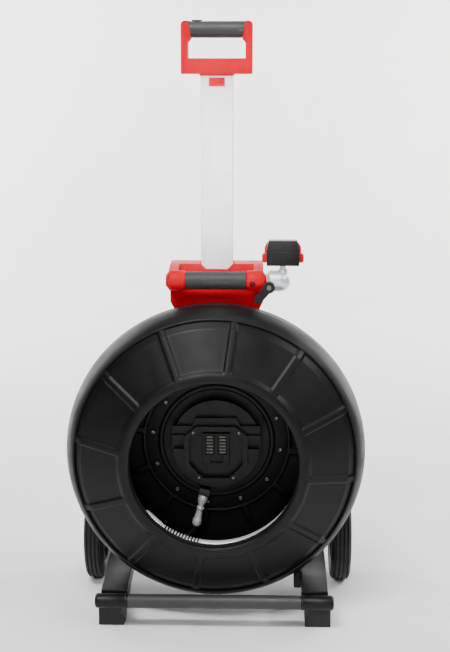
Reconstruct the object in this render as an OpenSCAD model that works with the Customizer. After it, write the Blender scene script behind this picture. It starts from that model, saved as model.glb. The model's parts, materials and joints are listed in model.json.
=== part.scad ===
// Pipe inspection reel on a two-wheeled cart: a drum of push cable with a camera head,
// a telescoping handle, a lower carry grip and a swinging dock for a monitor.
// Ground is z = 0, the front of the drum faces -Y, and x = 0 is the plane of symmetry.

/* [Drum] */
// Height of the drum's axis above the ground
axis_z = 301; // [301:1:306]
// Widest radius of the drum, at the seam of its two shells
drum_r = 265; // [262:1:266]
// Radius of the open mouth
mouth_r = 146; // [140:1:148]
// Wall thickness of the two drum shells
drum_wall = 4; // [3:0.5:4.5]
// Width of the ribs between the face pockets
rib_w = 16; // [10:1:20]
// Depth of the face pockets
pocket_depth = 2.4; // [1:0.2:2.6]
// Rotation of the ribs from the upright
rib_turn = 8; // [0:1:29]

/* [Cable] */
// Diameter of the push cable
cable_d = 10; // [8:0.5:10]
// Radius of the flexible spring and of the camera head
head_r = 10.5; // [9:0.5:10.5]
// Radius of the arc in which the spring lies
spring_arc_r = 164.4; // [162:0.2:164.4]

/* [Cart] */
// Outer radius of the tyres
wheel_r = 90; // [86:1:92]
// Width of the tyres
tyre_w = 38; // [34:1:40]
// Distance from the middle of the cart to the inner side of a tyre
tyre_x = 213; // [211:1:214]
// Radius of the axle
axle_r = 8; // [6:0.5:9]
// Width of each side rail
rail_w = 46; // [40:1:46]
// Radius of the front cross bar under its sleeves
bar_r = 10.5; // [9:0.5:11]

/* [Handle] */
// Width of the telescoping tube
tube_w = 57; // [50:1:58]
// Depth of the telescoping tube
tube_d = 20; // [16:1:20]
// Travel of the telescoping handle
handle_travel = 330; // [200:5:330]
// Radius of the upper grip
upper_grip_r = 14.5; // [13:0.5:15]
// Radius of the lower grip
lower_grip_r = 15.5; // [14:0.5:15.5]

/* [Hidden] */
$fn = 48;

drum_black = [0.10, 0.10, 0.11];
grip_black = [0.16, 0.17, 0.17];
body_red = [0.86, 0.07, 0.09];
silver = [0.90, 0.90, 0.92];
steel = [0.66, 0.67, 0.69];
brass_tone = [0.80, 0.62, 0.28];
glass = [0.12, 0.14, 0.18];

eps = 0.05;
fit_gap = 0.05;

// Drum, along its axis: y of each station, front to rear
mouth_y = -177.5;
face_edge_y = -130.5;
seam_y = -74.5;
back_y = -11.5;
face_edge_r = 249;
lip_w = 15;
rib_count = 12;
pocket_in_r = 163;
bevel_in_r = 233;
bevel_out_r = 245.5;
hub_hole_r = 100;
seam_screw_r = 254;
seam_boss_r = 6;
hub_flange_r = 128;
hub_screw_ring = 117;
bearing_in_r = 15;
bearing_out_r = 21;
bearing_w = 7;
front_bearing_y = -29;
rear_bearing_y = -19;

// Dock in the middle of the drum
dock_r = 80.5;
dock_face_y = -35;
dock_back_y = -31.5;
frame_face_y = -52;
pocket_floor_y = -39;
dock_screw_sink = 2.6;

// Cable: the outlet's angle from straight down, toward -X, and the wound pack
outlet_turn = 13.5;
outlet_y = -34;
outlet_in_r = 87;
outlet_block_r = 95.5;
outlet_out_r = 100;
connector_end_r = 160;
pack_pitch = 10.2;
pack_layers = 7;
pack_turns = 4;
pack_inner_r = 180.4;
pack_rear_y = -81.5;
spring_y = -117;
head_tip_turn = 51;
head_root_turn = 36.3;
flex_end_turn = 8.5;
tail_end_turn = -58;
head_tilt = 7;
head_gap = 1.3;

// Cart
axle_y = 87.5;
axle_z = 90;
rail_x = 154;
bar_y = -160.5;
bar_z = 50;
bar_half = 204;
bar_grip_r = 12.5;
sleeve_r = 13;
sleeve_in_x = 151.5;
sleeve_out_x = 209.5;
foot_y0 = -151.5;
foot_y1 = -98;
foot_h = 38;
hub_in_x = 202;
hub_out_x = 240;
cap_in_x = 236.1;
rim_r = 62;
base_x = 154;
base_y0 = -6;
base_y1 = 106;
base_z0 = 62;
base_z1 = 116;

// Spine and bracket
spine_y0 = -8;
spine_mid_y = 22;
spine_y1 = 52;
spine_top = 578;
bracket_top = 623.5;
bracket_x = 83;
ear_x = 66;
ear_out_x = 88;
ear_r = 18;
grip_y = -45.5;
grip_z = 602;
grip_core_r = 12.5;
grip_half = 53.5;
tube_y = 22;
tube_wall = 2;
slide_gap = 0.2;
guide_wall = 2;
guide_z0 = 190;
guide_z1 = 613;
tube_z0 = guide_z0 + handle_travel + 14;
tube_z1 = 972;

// Upper handle
handle_z0 = 957;
handle_z1 = 1048;
handle_half = 62.5;
handle_open = 50;
collar_h = 3;
handle_depth = 33;
upper_grip_z = 1033;
handle_core_r = 11;
button_x = -34.5;
button_l = 19;
button_w = 9;
button_proud = 2;
plunger_r = 4;
plunger_z0 = 1036;
spring_z0 = 1027;

// Monitor arm
arm_r = 18.5;
arm_x0 = 88.5;
arm_end_x = 112.5;
pivot_r = 8;
pivot_in_x = 72;
post_x = 117;
post_r = 5;
post_z0 = 606;
arm_boss_top = 621.5;
lever_x = 93;
lever_z = 595;
lever_face_y = -69.6;
lever_boss_r = 4.5;
lever_t = 10;
lever_w = 14;
lever_tip_dx = -19;
lever_tip_dz = -22;
dock_z0 = 630;
dock_z1 = 674;
dock_half = 28.5;
dock_top_half = 25;
dock_shoulder_z = 656;
dock_y0 = -58.5;
dock_y1 = -34.5;
side_button_out = 8;

// ---- placing helpers ----

module about_drum() { translate([0, 0, axis_z]) rotate([-90, 0, 0]) children(); }

module ring_y(r0, r1, y0, y1) {
    about_drum() translate([0, 0, y0]) difference() {
        cylinder(r = r1, h = y1 - y0);
        translate([0, 0, -1]) cylinder(r = r0, h = y1 - y0 + 2);
    }
}

module rod_x(x0, x1, y, z, r) {
    translate([x0, y, z]) rotate([0, 90, 0]) cylinder(r = r, h = x1 - x0);
}

module rod_y(x, y0, y1, z, r) {
    translate([x, y0, z]) rotate([-90, 0, 0]) cylinder(r = r, h = y1 - y0);
}

module about_x(y, z) { translate([0, y, z]) rotate([90, 0, 90]) children(); }

module xz_plate(y0, y1) {
    translate([0, y1, 0]) rotate([90, 0, 0]) linear_extrude(y1 - y0) children();
}

module yz_plate(x0, x1) {
    translate([x0, 0, 0]) rotate([90, 0, 90]) linear_extrude(x1 - x0) children();
}

module rounded(w, h, r) {
    square([w - 2 * r, h], center = true);
    square([w, h - 2 * r], center = true);
    for (sx = [-1, 1], sy = [-1, 1])
        translate([sx * (w / 2 - r), sy * (h / 2 - r)]) circle(r);
}

module both_sides() {
    children();
    mirror([1, 0, 0]) children();
}

module at_outlet() { translate([0, 0, axis_z]) rotate([0, outlet_turn, 0]) children(); }

// Mirrored outline from a list of right-hand points
function mirrored(p) = concat(p, [for (i = [len(p) - 1:-1:0]) [-p[i][0], p[i][1]]]);

// Point on a circle about the drum's axis: angle from straight down toward -X, radius, y
function drum_point(p) =
    [-p[1] * sin(p[0]), p[2], axis_z - p[1] * cos(p[0])];

function unit(v) = v / norm(v);

// ---- swept tube ----

function path_dir(p, i) =
    unit(p[min(i + 1, len(p) - 1)] - p[max(i - 1, 0)]);

function ring_points(p, i, r, sides) =
    let (t = path_dir(p, i), a = unit(cross(t, [0.1, 1, 0.2])), b = cross(t, a))
    [for (k = [0:sides - 1]) p[i] + r * (cos(360 * k / sides) * a + sin(360 * k / sides) * b)];

module swept_tube(p, r, sides) {
    n = len(p);
    skin = [for (i = [0:n - 1]) each ring_points(p, i, r, sides)];
    walls = [for (i = [0:n - 2], k = [0:sides - 1])
        let (m = (k + 1) % sides)
        [i * sides + k, i * sides + m, (i + 1) * sides + m, (i + 1) * sides + k]];
    near = [[for (k = [sides - 1:-1:0]) k]];
    far = [[for (k = [0:sides - 1]) (n - 1) * sides + k]];
    polyhedron(points = skin, faces = concat(near, walls, far), convexity = 6);
}

// Smooth points through a route, several to each span
function blend4(a, b, c, d, t) =
    0.5 * (2 * b + (c - a) * t + (2 * a - 5 * b + 4 * c - d) * t * t
    + (3 * b - a - 3 * c + d) * t * t * t);

function smooth_route(p, steps) =
    let (n = len(p))
    concat([for (i = [0:n - 2], s = [0:steps - 1])
        blend4(p[max(i - 1, 0)], p[i], p[i + 1], p[min(i + 2, n - 1)], s / steps)],
        [p[n - 1]]);

// Route of the cable from its connector to the pack: angle, radius, y
lead_route = [[13.5, 160, -34], [14.5, 173, -34], [18, 188, -35], [25, 202, -38],
    [35, 213, -43], [44, 221, -49], [54, 227, -55], [65, 232, -61], [77, 236, -67],
    [90, 239, -73], [104, 241, -79]];
// Route from the pack to the tail of the spring
tail_route = [[-104, 180, -113], [-96, 178, -113.5], [-88, 174.5, -114.5], [-80, 170, -116],
    [-72, 166.5, -117], [-65, 164.8, -117], [-58, 164.4, -117]];

// ---- drum ----

function front_skin(d) = [
    [mouth_r + d, mouth_y + 7], [mouth_r + 2 + d * 0.8, mouth_y + 2.2 + d * 0.4],
    [mouth_r + 7.5, mouth_y + d], [mouth_r + lip_w - d * 0.3, mouth_y + 1.4 + d]];

// Depth of the cone's face at radius r
function face_y(r) = mouth_y + 1.4
    + (r - mouth_r - lip_w) * (face_edge_y - mouth_y - 1.4) / (face_edge_r - mouth_r - lip_w);

// Depth of the bevel between the cone's face and the rim
function bevel_y(r) = face_y(bevel_in_r) + r - bevel_in_r;

module front_shell_profile() {
    lip = front_skin(0);
    lip_inside = front_skin(drum_wall);
    polygon(concat([[mouth_r, mouth_y + 22]], lip,
        [[bevel_in_r, face_y(bevel_in_r)], [bevel_out_r, bevel_y(bevel_out_r)],
            [face_edge_r, bevel_y(bevel_out_r)], [face_edge_r + 9, face_edge_y + 20],
            [drum_r, seam_y - 9], [drum_r, seam_y], [drum_r - drum_wall, seam_y],
            [drum_r - drum_wall, seam_y - 9], [face_edge_r + 9 - drum_wall * 1.1, face_edge_y + 20],
            [face_edge_r - 3, face_edge_y + 12], [226, face_y(226) + drum_wall + 1.5]],
        [for (i = [len(lip_inside) - 1:-1:0]) lip_inside[i]],
        [[mouth_r + drum_wall, mouth_y + 22]]));
}

module pocket_band() {
    rotate_extrude() polygon([
        [pocket_in_r, face_y(pocket_in_r) - 6], [pocket_in_r, face_y(pocket_in_r)],
        [pocket_in_r + 5, face_y(pocket_in_r + 5) + pocket_depth],
        [bevel_in_r - 1, face_y(bevel_in_r - 1) + pocket_depth],
        [bevel_out_r - 1, bevel_y(bevel_out_r - 1) + pocket_depth],
        [bevel_out_r - 1, face_y(bevel_out_r) - 6]]);
}

// Sector between two neighbouring ribs, with sides parallel to them
module between_ribs() {
    half = rib_w / 2;
    pitch = 360 / rib_count;
    inner = half / sin(pitch / 2);
    reach = 300;
    polygon([[inner * cos(pitch / 2), inner * sin(pitch / 2)], [reach, half],
        [reach * cos(pitch) + half * sin(pitch), reach * sin(pitch) - half * cos(pitch)]]);
}

module drum_front_shell() {
    color(drum_black) {
        about_drum() difference() {
            rotate_extrude() front_shell_profile();
            intersection() {
                pocket_band();
                for (i = [0:rib_count - 1])
                    rotate([0, 0, rib_turn - 90 + i * 360 / rib_count])
                        translate([0, 0, mouth_y - 10]) linear_extrude(80) between_ribs();
            }
        }
        seam_bosses(seam_y - 16, seam_y, 2);
    }
}

function rear_skin(d) = [
    [drum_r - d, seam_y], [drum_r - d, seam_y + 10], [drum_r - 6 - d, seam_y + 32],
    [drum_r - 18 - d, back_y - 7], [drum_r - 27 - d, back_y - d]];

module drum_rear_shell() {
    outer = rear_skin(0);
    inner = rear_skin(drum_wall);
    color(drum_black) {
        difference() {
            about_drum() rotate_extrude() polygon(concat(outer,
                [[hub_hole_r, back_y], [hub_hole_r, back_y - drum_wall]],
                [for (i = [len(inner) - 1:-1:0]) inner[i]]));
            on_hub_ring() cylinder(r = 2.2, h = 60, center = true);
            on_seam_ring() translate([0, 0, seam_y]) cylinder(r = seam_boss_r - 0.5, h = 80);
        }
        seam_bosses(seam_y, seam_y + 12, 2.2);
    }
}

module on_seam_ring() {
    about_drum() for (i = [0:rib_count - 1])
        rotate([0, 0, rib_turn + (i + 0.5) * 360 / rib_count]) translate([seam_screw_r, 0, 0]) children();
}

module on_hub_ring() {
    about_drum() for (i = [0:rib_count - 1])
        rotate([0, 0, rib_turn + i * 360 / rib_count]) translate([hub_screw_ring, 0, 0]) children();
}

module seam_bosses(y0, y1, hole_r) {
    on_seam_ring() translate([0, 0, y0]) difference() {
        union() {
            cylinder(r = seam_boss_r, h = y1 - y0);
            translate([0, -1.5, 0]) cube([drum_r - drum_wall / 2 - seam_screw_r, 3, y1 - y0]);
        }
        translate([0, 0, -1]) cylinder(r = hole_r, h = y1 - y0 + 2);
    }
}

module drum_seam_screws() {
    color(steel) on_seam_ring() {
        translate([0, 0, seam_y - 14]) cylinder(r = 2, h = 26);
        translate([0, 0, seam_y + 12]) cylinder(r = 3.6, h = 3.4);
    }
}

module drum_hub() {
    lip_r = bearing_in_r + 3;
    color(drum_black) difference() {
        about_drum() rotate_extrude() polygon([
            [bearing_out_r, front_bearing_y], [30, front_bearing_y], [30, -17], [96, -17],
            [98, -19.5], [104, -19.5], [108, -17.5], [hub_flange_r, -17.5], [hub_flange_r, -15.5],
            [hub_hole_r - 0.2, -15.5], [hub_hole_r - 0.2, -13], [30, -13], [30, -11.5],
            [bearing_out_r, -11.5], [bearing_out_r, rear_bearing_y], [lip_r, rear_bearing_y],
            [lip_r, front_bearing_y + bearing_w], [bearing_out_r, front_bearing_y + bearing_w]]);
        on_hub_ring() cylinder(r = 2.2, h = 60, center = true);
    }
}

module hub_screws() {
    color(steel) on_hub_ring() {
        translate([0, 0, -20.3]) cylinder(r = 4.4, h = 2.8);
        translate([0, 0, -17.5]) cylinder(r = 2, h = 5.6);
    }
}

module drum_bearings() {
    color(steel) for (y = [front_bearing_y, rear_bearing_y])
        ring_y(bearing_in_r + fit_gap, bearing_out_r, y, y + bearing_w);
}

module slip_ring_rotor() { color(brass_tone) ring_y(30.2, 46, -21.5, -17); }

module slip_ring_stator() { color(grip_black) ring_y(32, 48, dock_back_y, -22.1); }

// ---- cable ----

module cable_outlet() {
    w = 20;
    color(grip_black) at_outlet() difference() {
        union() {
            translate([-w / 2, outlet_y - 9, -outlet_block_r])
                cube([w, 26, outlet_block_r - outlet_in_r]);
            translate([-w / 2, outlet_y - 9, -outlet_out_r + 1])
                cube([w, 18, outlet_out_r - outlet_in_r - 1]);
            translate([0, outlet_y, -outlet_out_r]) cylinder(r = 9, h = 6);
        }
        translate([0, outlet_y, -outlet_out_r - 1]) cylinder(r = 5.2, h = 10);
    }
}

module cable_connector() {
    color(silver) at_outlet() translate([0, outlet_y, 0]) difference() {
        union() {
            translate([0, 0, -outlet_out_r - 7]) cylinder(r = 5, h = 14);
            translate([0, 0, -connector_end_r + 34]) cylinder(r = 6.4, h = 20);
            translate([0, 0, -connector_end_r + 12]) cylinder(r1 = 7.6, r2 = 5.6, h = 22);
            translate([0, 0, -connector_end_r]) cylinder(r = 7.8, h = 12);
        }
        translate([0, 0, -connector_end_r - 1]) cylinder(r = cable_d / 2, h = 4);
    }
}

module connector_nut() {
    color(silver) at_outlet() translate([0, outlet_y, -outlet_out_r - 15]) difference() {
        cylinder(r = 8.2, h = 14.8);
        translate([0, 0, -1]) cylinder(r = 6.4, h = 10);
        translate([0, 0, 8]) cylinder(r = 5, h = 8);
    }
}

module push_cable_ends() {
    color(grip_black) {
        swept_tube(smooth_route([for (p = lead_route) drum_point(p)], 3), cable_d / 2, 12);
        swept_tube(smooth_route([for (p = tail_route) drum_point(p)], 3), cable_d / 2, 12);
    }
}

module push_cable_coil() {
    width = (pack_turns - 1) * pack_pitch + cable_d;
    height = (pack_layers - 1) * pack_pitch + cable_d;
    color(grip_black) about_drum() rotate_extrude()
        translate([pack_inner_r + height / 2 - cable_d / 2, pack_rear_y - width / 2 + cable_d / 2])
            rounded(height, width, 4);
}

// Arc of round bar lying in the drum, from one angle to the other
module drum_arc(a0, a1, r) {
    about_drum() translate([0, 0, spring_y]) rotate([0, 0, 90 + a0]) rotate_extrude(angle = a1 - a0)
        translate([spring_arc_r, 0]) circle(r);
}

module spring_tail() {
    color(silver) {
        drum_arc(tail_end_turn, flex_end_turn, head_r - 0.5);
        drum_arc(tail_end_turn, tail_end_turn + 5, head_r);
    }
}

module spring_flex() { color(steel) drum_arc(flex_end_turn, head_root_turn, head_r); }

// Places its children at the spring's end, with +Z along the camera head
module at_head() {
    translate(drum_point([head_root_turn, spring_arc_r, spring_y]))
        rotate([0, head_root_turn + head_tilt, 0]) rotate([0, -90, 0])
            translate([0, 0, head_gap]) children();
}

head_length = 2 * PI * spring_arc_r * (head_tip_turn - head_root_turn) / 360 - 2 - head_gap;
head_nose = 5;
window_r = head_r - 3.4;
window_recess = 4;

module camera_head() {
    color(silver) at_head() difference() {
        union() {
            cylinder(r = head_r, h = head_length - head_nose);
            translate([0, 0, head_length - head_nose])
                cylinder(r1 = head_r, r2 = head_r - 2.4, h = head_nose);
        }
        translate([0, 0, head_length - window_recess]) cylinder(r = window_r, h = head_nose);
    }
}

module camera_window() {
    color(glass) at_head() translate([0, 0, head_length - window_recess])
        cylinder(r = window_r, h = window_recess - 1);
}

// ---- spindle and dock ----

module spindle() {
    color(steel) difference() {
        about_drum() rotate_extrude() polygon([[0, -43.5], [8, -43.5], [8, -29.5], [15, -29.5],
            [15, -1], [45, -1], [45, 6], [0, 6]]);
        on_spindle_ring() cylinder(r = 2.1, h = 30, center = true);
    }
}

module on_spindle_ring() {
    about_drum() for (a = [45:90:315]) rotate([0, 0, a]) translate([34, 0, 0]) children();
}

module spindle_screws() {
    color(steel) on_spindle_ring() {
        translate([0, 0, -7.8]) cylinder(r = 4.5, h = 3.6);
        translate([0, 0, -4.2]) cylinder(r = 2, h = 10);
    }
}

module spindle_nut() {
    color(steel) about_drum() translate([0, 0, -43]) difference() {
        cylinder(r = 12, h = 8, $fn = 6);
        translate([0, 0, -1]) cylinder(r = 8 + fit_gap, h = 10);
    }
}

module dock_base() {
    color(grip_black) difference() {
        union() {
            ring_y(8.1, dock_r, dock_face_y, dock_back_y);
            ring_y(dock_r - 3.5, dock_r, dock_back_y - eps, -21.5);
            ring_y(8.1, 14, dock_back_y - eps, -29.5);
            intersection() {
                ring_y(30, dock_r, dock_face_y - 6, dock_face_y + eps);
                xz_plate(dock_face_y - 10, dock_face_y + 1)
                    translate([-100, axis_z - 100]) square([200, 86]);
            }
        }
        on_dock_corners(dock_face_y - 8, 1.6, 20);
        xz_plate(dock_face_y - 10, dock_face_y) polygon(frame_outline(0.2));
    }
}

// Outline of the raised frame, as offsets from the axis, grown by d
function frame_outline(d) = [for (p = mirrored([[30 + d * 0.5, -68 - d], [57 + d, -38],
    [57 + d, 18], [35 + d * 0.5, 36 + d]])) [p[0], axis_z + p[1]]];

module on_dock_corners(y, r, h) {
    for (p = [[-31, -60], [31, -60], [-41, 24], [41, 24]])
        rod_y(p[0], y, y + h, axis_z + p[1], r);
}

module dock_frame() {
    inner = [for (p = mirrored([[26, -60], [48, -33], [48, 15], [31, 27]]))
        [p[0], axis_z + p[1]]];
    color(grip_black) difference() {
        union() {
            xz_plate(frame_face_y, dock_face_y) polygon(frame_outline(0));
            both_sides() translate([40, -43, axis_z + 19]) cube([39, 8, 16]);
            both_sides() translate([57 - eps, -49, axis_z + 13.5]) cube([22, 14, 6]);
            both_sides() translate([57 - eps, -47, axis_z - 13]) cube([20, 12, 6]);
            xz_plate(-44, dock_face_y) polygon([for (p = mirrored([[44, 35], [36, 50]]))
                [p[0], axis_z + p[1]]]);
        }
        difference() {
            xz_plate(frame_face_y - 1, pocket_floor_y) polygon(inner);
            on_dock_corners(frame_face_y - 2, 7, 20);
        }
        rod_y(0, pocket_floor_y - 1, dock_face_y + 1, axis_z, 16);
        on_dock_corners(frame_face_y - 1, 1.8, 20);
        on_dock_corners(frame_face_y - 1, 3.8, dock_screw_sink + 1);
    }
}

module dock_screws() {
    color(steel) {
        on_dock_corners(frame_face_y + 0.2, 3.4, dock_screw_sink - 0.2);
        on_dock_corners(frame_face_y + 2, 1.5, 16);
    }
}

module contact_block() {
    color(grip_black) difference() {
        translate([-24, -50, axis_z - 33]) cube([48, 50 + pocket_floor_y, 56]);
        rod_y(0, -45, pocket_floor_y + 1, axis_z, 14);
        for (side = [-1, 1]) translate([side * 11.5 - 8, -51, axis_z - 16]) cube([16, 4, 36]);
        translate([-11, -51, axis_z - 31]) cube([22, 5, 12]);
    }
}

module dock_contacts() {
    color(silver) for (side = [-1, 1], i = [0:5])
        translate([side * 11.5 - 6, -48.6, axis_z - 14 + i * 5.8]) cube([12, 1.6, 2.6]);
}

// ---- cart ----

module rail_outline() {
    difference() {
        union() {
            polygon([[axle_y + 4, axle_z - 25], [axle_y - 10, axle_z + 24], [22, 79], [-75, 74],
                [-150, 66], [-150, 38], [-92, 38], [-75, 45], [18, 48]]);
            translate([axle_y, axle_z]) circle(26);
        }
        translate([axle_y, axle_z]) circle(axle_r + fit_gap);
        translate([bar_y, bar_z]) circle(sleeve_r);
    }
}

module rail() {
    color(drum_black) difference() {
        yz_plate(rail_x, rail_x + rail_w) rail_outline();
        yz_plate(rail_x + 8, rail_x + rail_w - 8)
            polygon([[70, 71], [62, 82], [26, 66], [-72, 62], [-72, 57], [22, 56]]);
    }
}

module left_rail() { mirror([1, 0, 0]) rail(); }

module right_rail() { rail(); }

module front_bar() { color(steel) rod_x(-bar_half, bar_half, bar_y, bar_z, bar_r); }

module bar_tube(x0, x1, r) {
    difference() {
        rod_x(x0, x1, bar_y, bar_z, r);
        rod_x(x0 - 1, x1 + 1, bar_y, bar_z, bar_r);
    }
}

module bar_grip() {
    color(grip_black) bar_tube(-sleeve_in_x + 0.5, sleeve_in_x - 0.5, bar_grip_r);
}

module bar_end_sleeves() {
    dome = 5;
    color(drum_black) both_sides() difference() {
        about_x(bar_y, bar_z) translate([0, 0, sleeve_in_x]) union() {
            cylinder(r = sleeve_r, h = sleeve_out_x - sleeve_in_x - dome);
            translate([0, 0, sleeve_out_x - sleeve_in_x - dome]) rotate_extrude() union() {
                square([sleeve_r - dome, dome]);
                intersection() {
                    translate([sleeve_r - dome, 0]) circle(dome);
                    square([sleeve_r, dome]);
                }
            }
        }
        rod_x(sleeve_in_x - 1, bar_half + 0.2, bar_y, bar_z, bar_r);
    }
}

module foot() {
    color(grip_black) difference() {
        yz_plate(160, 205) polygon([[foot_y0, 0], [foot_y1, 0], [foot_y1 + 2, 14],
            [foot_y1 - 4, foot_h], [foot_y0 + 4, foot_h], [foot_y0, foot_h - 4]]);
        xz_plate(foot_y0 - 1, foot_y1 + 5)
            polygon([[159, 15], [165, 21], [165, foot_h + 1], [159, foot_h + 1]]);
        for (i = [0:2]) translate([159, foot_y0 + 11 + i * 14, -1]) cube([47, 4, 3]);
    }
}

module left_foot() { mirror([1, 0, 0]) foot(); }

module right_foot() { foot(); }

module axle() { color(steel) rod_x(-hub_out_x - 4, hub_out_x + 4, axle_y, axle_z, axle_r); }

module axle_clips() {
    color(steel) both_sides() difference() {
        rod_x(hub_out_x + 0.4, hub_out_x + 2, axle_y, axle_z, 13);
        rod_x(hub_out_x, hub_out_x + 3, axle_y, axle_z, axle_r);
    }
}

module base_housing() {
    wall = 4;
    color(drum_black) difference() {
        translate([-base_x, base_y0, base_z0])
            cube([2 * base_x, base_y1 - base_y0, base_z1 - base_z0]);
        translate([-base_x + wall, base_y0 + wall, base_z0 - 1])
            cube([2 * (base_x - wall), base_y1 - base_y0 - 2 * wall, base_z1 - base_z0 - wall + 1]);
        rod_x(-base_x - 1, base_x + 1, axle_y, axle_z, axle_r + fit_gap);
    }
}

module drum_rub_block() {
    color(grip_black) xz_plate(-86, -63)
        polygon([[141, 46], [rail_x, 46], [rail_x, 79], [149, 77], [141, 70]]);
}

module tyre() {
    half = tyre_w / 2;
    color(drum_black) about_x(axle_y, axle_z) translate([0, 0, tyre_x + half])
        difference() {
            rotate_extrude() polygon([[rim_r, -half + 3], [rim_r + 8, -half], [wheel_r - 8, -half],
                [wheel_r - 2, -half + 5], [wheel_r, -half + 12], [wheel_r, half - 12],
                [wheel_r - 2, half - 5], [wheel_r - 8, half], [rim_r + 8, half],
                [rim_r, half - 3]]);
            for (i = [-2:2]) rotate_extrude() translate([wheel_r - 3, i * 7 - 1]) square([4, 2]);
        }
}

module rim() {
    half = tyre_w / 2;
    color(drum_black) about_x(axle_y, axle_z) difference() {
        union() {
            translate([0, 0, hub_in_x]) cylinder(r = 18, h = hub_out_x - hub_in_x);
            translate([0, 0, tyre_x + half - 4]) cylinder(r = rim_r, h = 8);
            translate([0, 0, tyre_x + 3]) difference() {
                cylinder(r = rim_r, h = tyre_w - 6);
                translate([0, 0, -1]) cylinder(r = rim_r - 4, h = tyre_w);
            }
        }
        translate([0, 0, hub_in_x - 1]) cylinder(r = axle_r + fit_gap, h = 100);
        for (a = [0:60:300]) rotate([0, 0, a]) translate([38, 0, tyre_x]) cylinder(r = 11, h = tyre_w);
    }
}

module wheel_cap() {
    color(grip_black) about_x(axle_y, axle_z) difference() {
        union() {
            translate([0, 0, cap_in_x]) cylinder(r = 22, h = hub_out_x + 7 - cap_in_x);
            translate([0, 0, hub_out_x + 7]) cylinder(r1 = 22, r2 = 17, h = 4);
        }
        translate([0, 0, cap_in_x - 1]) cylinder(r = 18.1, h = hub_out_x + 1 - cap_in_x);
        translate([0, 0, hub_out_x]) cylinder(r = 16, h = 8);
    }
}

module left_tyre() { mirror([1, 0, 0]) tyre(); }

module left_rim() { mirror([1, 0, 0]) rim(); }

module left_wheel_cap() { mirror([1, 0, 0]) wheel_cap(); }

module right_tyre() { tyre(); }

module right_rim() { rim(); }

module right_wheel_cap() { wheel_cap(); }

// ---- spine and bracket ----

function spine_outline(d) = mirrored([[65 - d, base_z1 + d], [65 - d, 521], [76 - d, 543 + d * 0.3],
    [83 - d, 557 + d * 0.4], [83 - d, spine_top - d]]);

module on_cover_points() {
    for (p = [[-56, 140], [56, 140], [-56, 240], [56, 240], [-56, 380], [56, 380], [-56, 500],
        [56, 500], [-70, 562], [70, 562]]) translate([p[0], 0, p[1]]) rotate([-90, 0, 0]) children();
}

module spine_front_cover() {
    wall = 4;
    color(body_red) difference() {
        union() {
            difference() {
                xz_plate(spine_y0, spine_mid_y) polygon(spine_outline(0));
                xz_plate(spine_y0 + wall, spine_mid_y + 1) polygon(spine_outline(wall));
            }
            ring_y(15.5, 50, spine_y0 + wall - eps, -1);
            on_cover_points() translate([0, 0, spine_y0 + wall - eps])
                cylinder(r = 4.5, h = spine_mid_y - spine_y0 - wall + eps);
        }
        rod_y(0, spine_y0 - 1, 0, axis_z, 15.5);
        on_spindle_ring() cylinder(r = 2.2, h = 40, center = true);
        on_spindle_ring() translate([0, 0, spine_y0 - 1]) cylinder(r = 4.8, h = 4.8);
        on_cover_points() translate([0, 0, 4]) cylinder(r = 1.6, h = 40);
        guide_hole();
    }
}

module guide_hole() {
    translate([0, tube_y, spine_top - 20]) linear_extrude(100)
        square([tube_w + 2 * (slide_gap + guide_wall) + 0.4,
            tube_d + 2 * (slide_gap + guide_wall) + 0.4], center = true);
}

module spine_rear_cover() {
    wall = 4;
    color(body_red) difference() {
        union() {
            difference() {
                xz_plate(spine_mid_y, spine_y1) polygon(spine_outline(0));
                xz_plate(spine_mid_y - 1, spine_y1 - wall) polygon(spine_outline(wall));
            }
            on_cover_points() translate([0, 0, spine_mid_y])
                cylinder(r = 4.5, h = spine_y1 - spine_mid_y - wall + eps);
        }
        on_cover_points() translate([0, 0, spine_mid_y - 1]) cylinder(r = 1.9, h = 60);
        on_cover_points() translate([0, 0, spine_y1 - 3]) cylinder(r = 3.9, h = 10);
        guide_hole();
    }
}

module cover_screws() {
    color(steel) on_cover_points() {
        translate([0, 0, 6]) cylinder(r = 1.5, h = 43);
        translate([0, 0, spine_y1 - 3]) cylinder(r = 3.4, h = 2.4);
    }
}

module guide_tube() {
    gap_w = tube_w + 2 * slide_gap;
    gap_d = tube_d + 2 * slide_gap;
    color(silver) translate([0, tube_y, guide_z0]) linear_extrude(guide_z1 - guide_z0)
        difference() {
            rounded(gap_w + 2 * guide_wall, gap_d + 2 * guide_wall, 4);
            rounded(gap_w, gap_d, 2);
        }
}

module ear() {
    about_x(grip_y, grip_z) rotate_extrude() polygon([[0, ear_x], [ear_r - 1.5, ear_x],
        [ear_r, ear_x + 1.5], [ear_r, ear_x + 13], [ear_r - 3, ear_x + 18],
        [ear_r - 8, ear_out_x], [0, ear_out_x]]);
    yz_plate(ear_x, bracket_x) polygon([[grip_y, grip_z - ear_r], [spine_y0, spine_top],
        [2, spine_top], [2, bracket_top], [-12, bracket_top + 1.5], [-34, grip_z + ear_r + 1],
        [grip_y, grip_z + ear_r]]);
}

module grip_bracket() {
    color(body_red) difference() {
        union() {
            yz_plate(-bracket_x, bracket_x) polygon([[spine_y0, spine_top],
                [spine_y0, spine_top + 5], [0, 590], [0, 611], [5, bracket_top],
                [spine_y1 - 6, bracket_top], [spine_y1, bracket_top - 8], [spine_y1, spine_top]]);
            both_sides() ear();
            rod_x(-ear_x - 1, ear_x + 1, grip_y, grip_z, grip_core_r);
            both_sides() rod_x(grip_half, ear_x + 1, grip_y, grip_z, lower_grip_r);
        }
        translate([0, 0, 30]) guide_hole();
        guide_hole();
        rod_x(pivot_in_x, ear_out_x + 1, grip_y, grip_z, pivot_r + fit_gap);
        xz_plate(-4, tube_y) polygon(mirrored([[19, bracket_top - 9.5], [30, bracket_top + 1]]));
    }
}

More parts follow.
